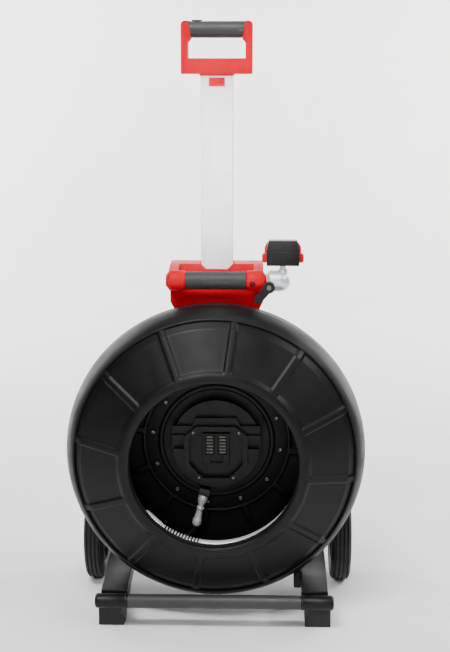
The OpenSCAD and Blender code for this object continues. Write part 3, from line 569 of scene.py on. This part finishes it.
def front_shell():
    """Rolled lip, ribbed cone, bevel, narrow rim and side wall, then back along the inside."""
    deep = 3.4
    stations = [(146, -155.5, 0), (146, -171.5, 0), (146.3, -174.4, 0), (147.2, -176.1, 0),
                (149, -177.1, 0), (151.5, -177.5, 0), (156.5, -177.4, 0), (159.4, -176.8, 0)]
    stations += [(r, cone_y(r), cut) for r, cut in
                 ((161, 0), (162.2, 0), (163, 0.1), (163.8, 0.4), (167.8, deep - 0.4),
                  (168.6, deep - 0.08), (169.5, deep))]
    stations += [(r, cone_y(r), deep) for r in range(175, 230, 6)]
    stations += [(r, cone_y(r), deep) for r in (231.6, 232.4)]
    stations += [(r, bevel_y(r), deep) for r in (233.3, 234, 239, 244, 244.7)]
    rim = bevel_y(245.5)
    stations += [(245.2, bevel_y(245.2), 0.9), (245.9, rim - 0.3, 0.1), (246.6, rim - 0.5, 0),
                 (248, rim - 0.3, 0), (249, rim + 0.5, 0), (249.8, rim + 1.8, 0),
                 (253, -120.3, 0), (258, -110.5, 0), (261.6, -98, 0), (264, -88.5, 0),
                 (265, -82, 0), (265, -75.6, 0), (264.3, -74.8, 0), (260.5, -74.8, 0),
                 (260.5, -83, 0), (253.6, -108, 0), (246, -118.5, 0), (224, cone_y(224) + 7, 0),
                 (168, cone_y(168) + 7, 0), (158, -170, 0), (150.5, -172, 0), (150.2, -155.5, 0)]
    ribbed_shell("drum_front_shell_ribbed", stations, "drum_front_shell")


def rear_shell():
    """Inside the back wall, round-ended ribs stand between shallow pockets."""
    stations = [(100, -11.5, 0), (100, -15.5, 0), (129, -15.5, 0), (129.5, -17.4, 0),
                (130.3, -18.2, 0), (133.4, -18.2, 0), (134, -18.2, 0.4), (136.6, -18.2, 2.7),
                (137.4, -18.2, 2.8), (150, -18.2, 2.8), (158, -18.2, 2.8), (162, -17.9, 2.5),
                (165.5, -17, 1.6), (168, -15.8, 0.4), (169.5, -15.4, 0), (200, -15.4, 0),
                (236, -15.5, 0), (243.5, -21, 0), (255.2, -43.5, 0), (260.8, -66, 0),
                (260.8, -74.2, 0), (264.3, -74.2, 0), (265, -73.5, 0), (265, -66, 0),
                (264.2, -60, 0), (261.8, -51.5, 0), (259, -42.5, 0), (253, -30.5, 0),
                (247.6, -19.6, 0), (246, -17, 0), (243.4, -14, 0), (240, -12, 0),
                (237, -11.5, 0), (233, -11.5, 0), (232, -11.5, -0.4), (230, -11.5, -2),
                (229, -11.5, -2.4), (180, -11.5, -2.4), (142, -11.5, -2.4), (141, -11.5, -2),
                (139, -11.5, -0.4), (138, -11.5, 0), (120, -11.5, 0)]
    ribbed_shell("drum_rear_shell_ribbed", stations, "drum_rear_shell")


def hub():
    """The turned middle of the back wall, from the bearings to the screw ring."""
    wall = [(21, -29), (30, -29), (30, -17), (96, -17), (98.4, -19.5), (103.6, -19.5),
            (106.5, -17.5), (128, -17.5), (128, -15.5), (99.8, -15.5), (99.8, -13), (30, -13),
            (30, -11.5), (21, -11.5)]
    profile = [(r * MM, y * MM) for r, y in rounded(wall, 0.9, 3)]
    lathe("drum_hub_turned", profile, "Y", (0, 0, AXIS_Z), "drum", "drum_plastic", "drum_hub",
          segments=144)


front_shell()
rear_shell()
hub()


# ---------------------------------------------------------------- outlet, connector and spring

TURN = math.radians(13.5)
OUTLET_Y = -0.034


def outlet_place(mesh):
    """Turns a mesh built straight below the drum's axis round to the cable outlet."""
    cosine, sine = math.cos(TURN), math.sin(TURN)
    for v in mesh.vertices:
        x, z = v.co.x, v.co.z - AXIS_Z
        v.co.x, v.co.z = x * cosine + z * sine, AXIS_Z - x * sine + z * cosine
    return mesh


def turned_mesh(name, profile, centre, segments=64, closed=False):
    """A turned shape on a line parallel to Z; a third number is the height of its knurling."""
    rows = []
    for r, z, *knurl in profile:
        lift, row = knurl[0] if knurl else 0, []
        for k in range(segments):
            a, out = TAU * k / segments, r + lift * (k % 4 < 2)
            row.append(Vector((centre[0] + out * math.cos(a), centre[1] + out * math.sin(a), z)))
        rows.append(row)
    return grid_mesh(name, rows, close_rows=closed)


def below(radius):
    """Height of a point straight below the axis at a radius given in mm."""
    return AXIS_Z - radius * MM


def connector():
    """The plug on the cable's lead and its nut; points are (radius, distance from the axis)."""
    plug = [(4.2, 93), (5, 93.4), (5, 107), (5.6, 107.6), (7.2, 112), (7.2, 116), (5.8, 117.6),
            (5.4, 123), (6.9, 124.5), (7.3, 126), (6.9, 127.5), (5.8, 129), (5.8, 133), (7, 143),
            (7.2, 146.5), (7.9, 147.5, 0), (7.9, 148.2, 0.35), (7.9, 156.4, 0.35), (7.9, 157.2, 0),
            (7.2, 158.6), (6.4, 160), (5, 160), (5, 156)]
    mesh = turned_mesh("cable_connector", [(p[0] * MM, below(p[1]), *[q * MM for q in p[2:]])
                                           for p in plug], (0, OUTLET_Y))
    turned = add_piece("cable_connector_turned", outlet_place(mesh), "drum", "bright_steel",
                       "cable_connector", sharp=30)
    nut = [(5, 100.2), (7.6, 100.2), (8.4, 101), (8.4, 101.8, 0.3), (8.4, 109.6, 0.3),
           (8.4, 110.4), (8, 111), (8, 113.6), (7.4, 115), (7.2, 115), (7.2, 106.2), (5, 106)]
    mesh = turned_mesh("connector_nut", [(p[0] * MM, below(p[1]), *[q * MM for q in p[2:]])
                                         for p in nut], (0, OUTLET_Y), 72, True)
    knurled = add_piece("connector_nut_knurled", outlet_place(mesh), "drum", "bright_steel",
                        "connector_nut", sharp=30)
    return [turned, knurled]


def outlet():
    """The strap that holds the plug to the hub, and the collar at its end."""
    parts = []
    for outer, front, back in ((95.5, -43, -17.2), (99, -42.8, -25)):
        block = [(-10, 87), (10, 87), (10, outer), (-10, outer)]
        side = rounded([(x * MM, below(r)) for x, r in block], 2 * MM, 3)
        strap = grid_mesh("strap", plate(side, "Y", front * MM, back * MM))
        parts.append(bevel_mesh(strap, 0.0012))
    collar = [(8.2, 97), (9, 97.2), (9, 99.2), (8.4, 100), (5.3, 100), (5.3, 97)]
    ring = turned_mesh("collar", [(r * MM, below(z)) for r, z in collar], (0, OUTLET_Y), 48, True)
    add_piece("cable_outlet_strap", outlet_place(joined("outlet", parts + [ring])), "drum",
              "grip_rubber", "cable_outlet")


def arc(first, last, step):
    """Points along the middle of the spring; all three values are in degrees."""
    count = max(2, round(abs(last - first) / step))
    return [drum_point(first + (last - first) * k / count, SPRING_ARC_R, SPRING_Y)
            for k in range(count + 1)]


def spring_tail():
    """Close-wound part: a tube with the fine helical groove of touching coils."""
    points, sides, coil = arc(TAIL_END + 5, FLEX_END, 0.16), 32, 0.0019
    rows, travelled = sweep(points, SPRING_R - 0.0005, sides), 0.0
    for i, row in enumerate(rows):
        if i:
            travelled += (points[i] - points[i - 1]).length
        for k, p in enumerate(row):
            wave = abs(math.sin(math.pi * (travelled / coil + k / sides)))
            row[k] = points[i] + (p - points[i]) * (0.955 + 0.045 * wave ** 0.6)
    tube = grid_mesh("tail", rows)
    cuff_line = arc(TAIL_END, TAIL_END + 5.4, 0.6)
    shape = [SPRING_R - 0.0012] + [SPRING_R] * (len(cuff_line) - 2) + [SPRING_R - 0.0012]
    cuff = grid_mesh("cuff", sweep(cuff_line, shape, 40))
    return add_piece("spring_tail_wound", joined("tail_all", [tube, cuff]), "drum",
                     "bright_steel", "spring_tail", sharp=60)


def spring_flex():
    """Open coils of round wire between the tail and the camera head."""
    wire, turns, per_turn = 0.00155, 13, 26
    spread = HEAD_ROOT - FLEX_END
    line = []
    for i in range(turns * per_turn + 1):
        t = i / (turns * per_turn)
        turn = FLEX_END + spread * (0.015 + 0.97 * t)
        centre = drum_point(turn, SPRING_ARC_R, SPRING_Y)
        out = (centre - Vector((0, SPRING_Y, AXIS_Z))).normalized()
        a = TAU * turns * t
        line.append(centre + (SPRING_R - wire) * (math.cos(a) * out
                                                  + math.sin(a) * Vector((0, 1, 0))))
    coils = grid_mesh("coils", sweep(line, wire, 10))
    ends = []
    for first, last in ((FLEX_END - 0.2, FLEX_END + 0.9), (HEAD_ROOT - 0.9, HEAD_ROOT + 0.1)):
        ends.append(grid_mesh("end", sweep(arc(first, last, 0.4), SPRING_R - 0.0006, 40)))
    return add_piece("spring_flex_coils", joined("flex", [coils] + ends), "drum",
                     "bright_steel", "spring_flex", sharp=50)


HEAD_TILT, HEAD_GAP = 7, 0.0013


def head_mesh(name, profile):
    """A turned shape along the camera head; profile is (radius, distance from the root)."""
    segments = 64
    root = drum_point(HEAD_ROOT, SPRING_ARC_R, SPRING_Y)
    a = math.radians(HEAD_ROOT + HEAD_TILT)
    ahead = Vector((-math.cos(a), 0, math.sin(a)))
    up, side = Vector((math.sin(a), 0, math.cos(a))), Vector((0, 1, 0))
    rows = [[root + ahead * (s * MM + HEAD_GAP) + r * MM * (math.cos(TAU * k / segments) * up
                                                           + math.sin(TAU * k / segments) * side)
             for k in range(segments)] for r, s in profile]
    return grid_mesh(name, rows)


HEAD_LENGTH = TAU * SPRING_ARC_R / MM * (HEAD_TIP - HEAD_ROOT) / 360 - 2 - HEAD_GAP / MM


def camera_head():
    """Steel barrel with two grooves, and a window with a lens behind it."""
    end = HEAD_LENGTH
    shell = [(8, -0.6), (9.6, -0.4), (10.3, 0.6), (10.5, 1.4), (10.5, 3.4), (10, 3.8), (10, 4.8),
             (10.5, 5.2), (10.5, end - 12), (10.1, end - 11.6), (10.1, end - 10.8),
             (10.5, end - 10.4), (10.5, end - 6), (10.2, end - 4.2), (9.2, end - 1.2),
             (8.4, end - 0.2), (7.8, end), (7.3, end - 0.3), (7.1, end - 2.5), (7.1, end - 4)]
    barrel = add_piece("camera_head_barrel", head_mesh("head", shell), "drum", "bright_steel",
                       "camera_head", sharp=40)
    glass = [(7.1, end - 4), (7.1, end - 1.8), (6.6, end - 1.4), (4.8, end - 1.35),
             (4.6, end - 2), (3.6, end - 2.1), (3.4, end - 1.4), (2, end - 1.1), (0.2, end - 1)]
    window = add_piece("camera_window_domed", head_mesh("window", glass), "drum", "lens_glass",
                       "camera_window", sharp=40)
    return [barrel, window]


outlet()
cable_fittings = connector() + [spring_tail(), spring_flex()] + camera_head()


# ---------------------------------------------------------------- screws

def screw(place, facing, head_r, head_h, shank_r, shank_l):
    """A pan-head screw with a six-lobed recess; place is under its head, sizes are in mm."""
    facing = Vector(facing)
    side = facing.orthogonal().normalized()
    up = facing.cross(side)
    head = [(shank_r, -shank_l, 0), (shank_r, 0, 0), (head_r, 0, 0), (head_r, head_h * 0.45, 0),
            (head_r * 0.92, head_h * 0.75, 0), (head_r * 0.72, head_h * 0.96, 0),
            (head_r * 0.56, head_h, 0), (head_r * 0.52, head_h * 0.96, 0.12),
            (head_r * 0.48, head_h * 0.3, 0.14), (0.05, head_h * 0.26, 0)]
    rows = []
    for r, s, lobe in head:
        rows.append([Vector(place) + facing * (s * MM)
                     + r * MM * (1 + lobe * math.cos(6 * TAU * k / 36))
                     * (math.cos(TAU * k / 36) * side + math.sin(TAU * k / 36) * up)
                     for k in range(36)])
    return grid_mesh("screw", rows)


def screws(name, places, facing, sizes, body, slot, node):
    """Like screws as one piece; sizes are head radius and height, shank radius and length."""
    mesh = joined(name, [screw(p, facing, *sizes) for p in places])
    return add_piece(name, mesh, body, slot, node, sharp=35)


def ring_places(count, offset, radius, y):
    return [Vector((radius * MM * math.cos(a), y * MM, AXIS_Z + radius * MM * math.sin(a)))
            for a in ((k + offset) * TAU / count for k in range(count))]


COVER_POINTS = [(-56, 140), (56, 140), (-56, 240), (56, 240), (-56, 380), (56, 380),
                (-56, 500), (56, 500), (-70, 562), (70, 562)]
DOCK_CORNERS = [(-31, -60), (31, -60), (-41, 24), (41, 24)]
SEAM_TURN = -RIB_TURN / 30
screws("hub_screws_lobed", ring_places(12, SEAM_TURN, 117, -17.5), (0, -1, 0), (4.4, 2.8, 2, 5.6),
       "drum", "zinc_steel", "hub_screws")
screws("drum_seam_screws_lobed", ring_places(12, 0.5 + SEAM_TURN, 254, -62.5), (0, 1, 0),
       (3.6, 3.4, 2, 26), "drum", "zinc_steel", "drum_seam_screws")
screws("spindle_screws_lobed", ring_places(4, 0.5, 34, -4.2), (0, -1, 0), (4.5, 3.4, 2, 10),
       "cart", "zinc_steel", "spindle_screws")
screws("cover_screws_lobed", [(x * MM, 0.049, z * MM) for x, z in COVER_POINTS], (0, 1, 0),
       (3.4, 2.4, 1.5, 43), "cart", "zinc_steel", "cover_screws")
screws("dock_screws_lobed", [(x * MM, -0.0494, AXIS_Z + z * MM) for x, z in DOCK_CORNERS],
       (0, -1, 0), (3.4, 2.3, 1.5, 16), "cart", "zinc_steel", "dock_screws")


# ---------------------------------------------------------------- cart

def tyre(side, body, node):
    """Grooved tread with rounded shoulders and a ridge on the side wall."""
    half, grooves = 19, (-11.4, -3.8, 3.8, 11.4)
    outline = [(62, -half + 3), (69, -half), (76, -half), (77, -half), (80, -half + 0.4),
               (84, -half + 1.4), (87.3, -half + 3.6), (89.2, -half + 6)]
    for g in grooves:
        outline += [(89.8, g - 1.7), (89.3, g - 1.3), (87.0, g - 0.9), (87.0, g + 0.9),
                    (89.3, g + 1.3), (89.8, g + 1.7)]
        if g != grooves[-1]:
            outline += [(90, g + 3.8)]
    outline += [(r, -x) for r, x in reversed(outline[:8])]
    profile = [(r * MM, side * TYRE_X + x * MM) for r, x in outline]
    lathe(f"{node}_treaded", profile, "X", (0, AXLE_Y, AXLE_Z), body, "tyre_rubber", node,
          segments=160, sharp=45)


def wheel_cap(side, body, node):
    shape = [(18.2, -4.7), (20.5, -4.7), (21.6, -4), (22, -3), (22, 4.6), (21.6, 6.4),
             (20.4, 8.4), (18.6, 10), (16.6, 10.8), (13, 11), (11.5, 10.2), (10, 10),
             (0.3, 10), (0.3, 8.2), (16, 8.2), (16, 1.2), (18.2, 1.2)]
    hub_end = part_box("right_wheel_cap")[1].x - 0.011
    profile = [(r * MM, side * (hub_end + x * MM)) for r, x in shape]
    lathe(f"{node}_domed", profile, "X", (0, AXLE_Y, AXLE_Z), body, "black_plastic", node,
          segments=72, sharp=40)


for wheel_side, label in ((-1, "left"), (1, "right")):
    tyre(wheel_side, f"{label}_wheel", f"{label}_tyre")
    wheel_cap(wheel_side, f"{label}_wheel", f"{label}_wheel_cap")
    soften(f"{label}_rim", 0.0012)
    soften(f"{label}_rail", 0.0035, segments=4)
    soften(f"{label}_foot", 0.0022)
for name, width in (("axle", 0), ("axle_clips", 0.0003), ("base_housing", 0.005),
                    ("drum_rub_block", 0.0018), ("front_bar", 0.0006)):
    soften(name, width)

BAR_Y, BAR_Z = -0.1605, 0.050


def bar_cover():
    """Matte sleeve along the bar, with a shallow rolled edge at each end."""
    shape = [(10.6, -151), (12.1, -151), (12.5, -150.5), (12.5, -149), (12.3, -148.4)]
    shape = shape + [(12.3, 0)] + [(r, -x) for r, x in reversed(shape)]
    lathe("bar_grip_rolled", [(r * MM, x * MM) for r, x in shape], "X", (0, BAR_Y, BAR_Z),
          "cart", "grip_rubber", "bar_grip", segments=72)


def bar_ends():
    """Shiny end sleeves with a collar line and a rounded end."""
    meshes = []
    for side in (-1, 1):
        shape = [(10.6, 151.5), (12.6, 151.5), (13, 152.2), (13, 157), (12.7, 157.5),
                 (12.7, 158.3), (13, 158.8), (13, 204.4)]
        shape += [(8 + 5 * math.cos(a), 204.5 + 5 * math.sin(a))
                  for a in (math.pi / 2 * k / 6 for k in range(1, 7))]
        shape += [(0.2, 209.5), (0.2, 204.4), (10.6, 204.4)]
        rows = [[spun_point("X", (0, BAR_Y, BAR_Z), r * MM, side * x * MM, TAU * k / 72)
                 for k in range(72)] for r, x in shape]
        meshes.append(grid_mesh("end", rows, close_rows=True))
    add_piece("bar_end_sleeves_rounded", joined("ends", meshes), "cart", "black_plastic",
              "bar_end_sleeves")


bar_cover()
bar_ends()


# ---------------------------------------------------------------- spindle and dock

for name, width in (("drum_bearings", 0.0003), ("slip_ring_rotor", 0), ("slip_ring_stator", 0),
                    ("spindle", 0.0005), ("spindle_nut", 0.0006), ("dock_base", 0.0009),
                    ("dock_frame", 0.0016), ("contact_block", 0.0008)):
    soften(name, width)


def contacts():
    """Sprung contact strips: a bowed leaf with rounded ends."""
    meshes = []
    for side in (-1, 1):
        for i in range(6):
            z = AXIS_Z + (-14 + i * 5.8 + 1.3) * MM
            outline = rounded([(-6, -1.3), (6, -1.3), (6, 1.3), (-6, 1.3)], 1.0, 3)
            rows = []
            for y, grow in ((-0.0472, 1), (-0.0480, 1), (-0.0485, 0.93), (-0.0486, 0.8)):
                rows.append([Vector((side * 0.0115 + x * grow * MM, y, z + v * grow * MM))
                             for x, v in outline])
            meshes.append(grid_mesh("contact", rows))
    add_piece("dock_contacts_bowed", joined("contacts", meshes), "cart", "contact_brass",
              "dock_contacts")


contacts()


# ---------------------------------------------------------------- spine and bracket

for name, width in (("spine_front_cover", 0.003), ("spine_rear_cover", 0.003),
                    ("guide_tube", 0.0005), ("grip_bracket", 0.0022)):
    soften(name, width, segments=4)

GRIP_Y, GRIP_Z = -0.0455, 0.602


def grip(name, half, r_core, r, centre, body, node):
    """A grip tube with rolled ends and fine ribs round it."""
    shape = [(r_core, -half), (r - 0.9, -half), (r - 0.2, -half + 0.7), (r, -half + 1.6)]
    ribs = int((half * 2 - 8) / 2.4)
    for i in range(ribs):
        x = -half + 4 + i * 2.4
        shape += [(r, x), (r - 0.22, x + 0.5), (r - 0.22, x + 0.9), (r, x + 1.4)]
    shape += [(a, -b) for a, b in reversed(shape[:4])]
    lathe(name, [(a * MM, b * MM) for a, b in shape], "X", centre, body, "grip_rubber", node,
          segments=96, sharp=50)


def bracket_sleeves():
    """The bracket's bar ends: smooth red sleeves as thick as the grip between them."""
    meshes = []
    for side in (-1, 1):
        shape = [(12.8, 54.2), (16.2, 54.2), (17.1, 54.8), (17.5, 55.8), (17.8, 64), (17.9, 78),
                 (16.6, 79), (12.8, 79)]
        rows = [[spun_point("X", (0, GRIP_Y, GRIP_Z), r * MM, side * x * MM, TAU * k / 72)
                 for k in range(72)] for r, x in shape]
        meshes.append(grid_mesh("sleeve", rows, close_rows=True))
    add_piece("bracket_sleeves_smooth", joined("sleeves", meshes), "cart", "red_plastic")


bracket_sleeves()
grip("lower_grip_ribbed", 53.5, 12.6, 15.5, (0, GRIP_Y, GRIP_Z), "cart", "lower_grip")


def bracket_screw():
    """The dark screw on the right end of the lower grip's bar."""
    mesh = screw((0.0645, -0.0628, 0.599), (0, -1, 0), 4.6, 1.2, 2, 6)
    add_piece("bracket_screw", mesh, "cart", "black_plastic", sharp=35)


bracket_screw()


# ---------------------------------------------------------------- telescoping handle

for name, width in (("inner_tube", 0.0005), ("handle_frame", 0.0028), ("upper_grip", 0.0012),
                    ("release_button", 0.0008)):
    soften(name, width, segments=4)


def grip_gussets():
    """Red cheeks that taper in under the ends of the upper grip."""
    meshes = []
    for side in (-1, 1):
        cheek = [(50.5, 1044), (48.6, 1044), (47.2, 1030), (45, 1023), (45, 1016.6),
                 (47.4, 1014.6), (50.5, 1014.6)]
        points = [(side * a * MM, b * MM) for a, b in rounded(cheek, 1.2, 2)]
        meshes.append(bevel_mesh(grid_mesh("cheek", plate(points, "Y", 0.0062, 0.0378)), 0.001))
    add_piece("handle_gussets", joined("gussets", meshes), "handle", "red_plastic")


grip_gussets()


def release_spring():
    """A small coil spring under the button."""
    lo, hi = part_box("release_spring")
    middle, r, turns = (lo + hi) / 2, (hi.x - lo.x) / 2 - 0.0005, 4
    line = []
    for t in (k / 96 for k in range(97)):
        a = TAU * turns * t
        line.append(Vector((middle.x + r * math.cos(a), middle.y + r * math.sin(a),
                            lo.z + 0.0005 + (hi.z - lo.z - 0.001) * t)))
    add_piece("release_spring_coil", grid_mesh("coil", sweep(line, 0.0004, 8)), "handle",
              "bright_steel", "release_spring", sharp=60)


release_spring()


# ---------------------------------------------------------------- monitor arm and dock

for name, width in (("mount_arm", 0.0012), ("clamp_lever", 0.0014), ("swivel_post", 0.0005),
                    ("dock_left_button", 0.0008), ("dock_right_button", 0.0008)):
    soften(name, width)


POST_X = (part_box("swivel_post")[0].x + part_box("swivel_post")[1].x) / 2


def dock_plate(outline, front, back, bevel):
    """A plate seen from the front; outline is in mm from the post and the floor."""
    points = [(POST_X + a * MM, b * MM) for a, b in rounded(outline, 1.6, 3)]
    return bevel_mesh(grid_mesh("plate", plate(points, "Y", front * MM, back * MM)), bevel, 4)


def monitor_dock():
    """Black body with sloping shoulders and a low panel, and the red wings behind it."""
    body = [(-28.5, 630), (28.5, 630), (28.5, 656), (25, 674), (-25, 674), (-28.5, 656)]
    panel = [(-21, 636), (21, 636), (21, 654), (-21, 654)]
    shapes = [dock_plate(body, -57.9, -37.5, 0.0025), dock_plate(panel, -58.5, -57, 0.0005)]
    for side in (-1, 1):
        for low in (658.5, 662.5):
            ridge = [(side * 11 - 8, low), (side * 11 + 8, low), (side * 11 + 8, low + 2.2),
                     (side * 11 - 8, low + 2.2)]
            shapes.append(dock_plate(ridge, -58.4, -57, 0.0004))
    add_piece("monitor_dock_body", joined("dock", shapes), "monitor", "black_plastic",
              "monitor_dock")
    wing = [(-32, 646), (32, 646), (32, 660), (28, 668), (-28, 668), (-32, 660)]
    add_piece("monitor_dock_plate", dock_plate(wing, -37.4, -30.6, 0.0012), "monitor",
              "red_plastic", "monitor_dock")


monitor_dock()


def lever_screw():
    """The screw in the middle of the clamp lever."""
    mesh = screw((0.093, -0.0796, 0.595), (0, -1, 0), 4.2, 0.9, 2, 6)
    add_piece("clamp_lever_screw", mesh, "arm", "zinc_steel", sharp=35)


lever_screw()


# ---------------------------------------------------------------- floor and light

def plain(name, color, rough):
    """A matte look for the floor and back wall."""
    look = Look(name)
    tone = look.remap(look.noise(3.0), 0.3, 0.7, 0.0, 1.0)
    base = look.mix(tone, color, lighter(color, 0.97))
    return look.finish(base, rough, look.bump(look.noise(220.0), 0.08, 0.0001))


def studio():
    """A white sweep: floor, curved rise and back wall in one sheet."""
    floor_z = cad_box[0][2] - 0.0002
    line = [(-3.5, floor_z)]
    line += [(3.0 + 0.9 * math.sin(a), floor_z + 0.9 - 0.9 * math.cos(a))
             for a in (math.pi / 2 * k / 12 for k in range(13))]
    line += [(3.9, 4.5)]
    rows = [[Vector((x, y, z)) for x in (-5, 5)] for y, z in line]
    mesh = grid_mesh("sweep", rows, close_columns=False)
    mesh.shade_smooth()
    mesh.materials.append(plain("backdrop", (0.93, 0.93, 0.925), 0.75))
    sheet = bpy.data.objects.new("backdrop", mesh)
    bpy.context.scene.collection.objects.link(sheet)


def area_light(name, place, target, size, power, spread=180):
    """A soft rectangular light in watts; spread is in degrees."""
    data = bpy.data.lights.new(name, "AREA")
    data.shape, data.size, data.size_y = "RECTANGLE", size[0], size[1]
    data.energy, data.spread = power, math.radians(spread)
    light = bpy.data.objects.new(name, data)
    light.location = place
    aim = Vector(target) - Vector(place)
    light.rotation_euler = aim.to_track_quat("-Z", "Y").to_euler()
    bpy.context.scene.collection.objects.link(light)


def lights():
    """Soft light from above and the right, with weak ones for the tube and the drum's inside."""
    middle = (0, 0, 0.45)
    area_light("key", (-0.6, -1.5, 2.9), middle, (1.2, 0.4), 95)
    area_light("strip", (2.0, -1.5, 1.9), middle, (0.25, 1.2), 16)
    area_light("front", (-0.5, -3.0, 2.3), (0, -0.1, 0.6), (0.6, 0.3), 30)
    area_light("rim", (1.7, -0.4, 1.9), (0, -0.1, 0.35), (1.2, 0.25), 22)
    area_light("tube", (-0.3, -2.7, 1.15), (0, 0, 0.80), (0.2, 0.2), 0.4, 10)
    area_light("mouth", (0.05, -2.2, 0.55), (0, -0.1, 0.15), (0.5, 0.12), 5)
    area_light("top", (0.1, 0.3, 2.8), middle, (1.6, 0.8), 14)
    area_light("back_left", (-2.6, 2.0, 1.6), (0, 3.9, 1.1), (1.2, 2.2), 220)
    area_light("back_right", (2.6, 2.0, 1.6), (0, 3.9, 1.1), (1.2, 2.2), 220)
    world = bpy.data.worlds.new("studio")
    world.use_nodes = True
    background = world.node_tree.nodes["Background"]
    background.inputs["Color"].default_value = (1, 1, 1, 1)
    background.inputs["Strength"].default_value = 0.04
    bpy.context.scene.world = world


studio()
lights()
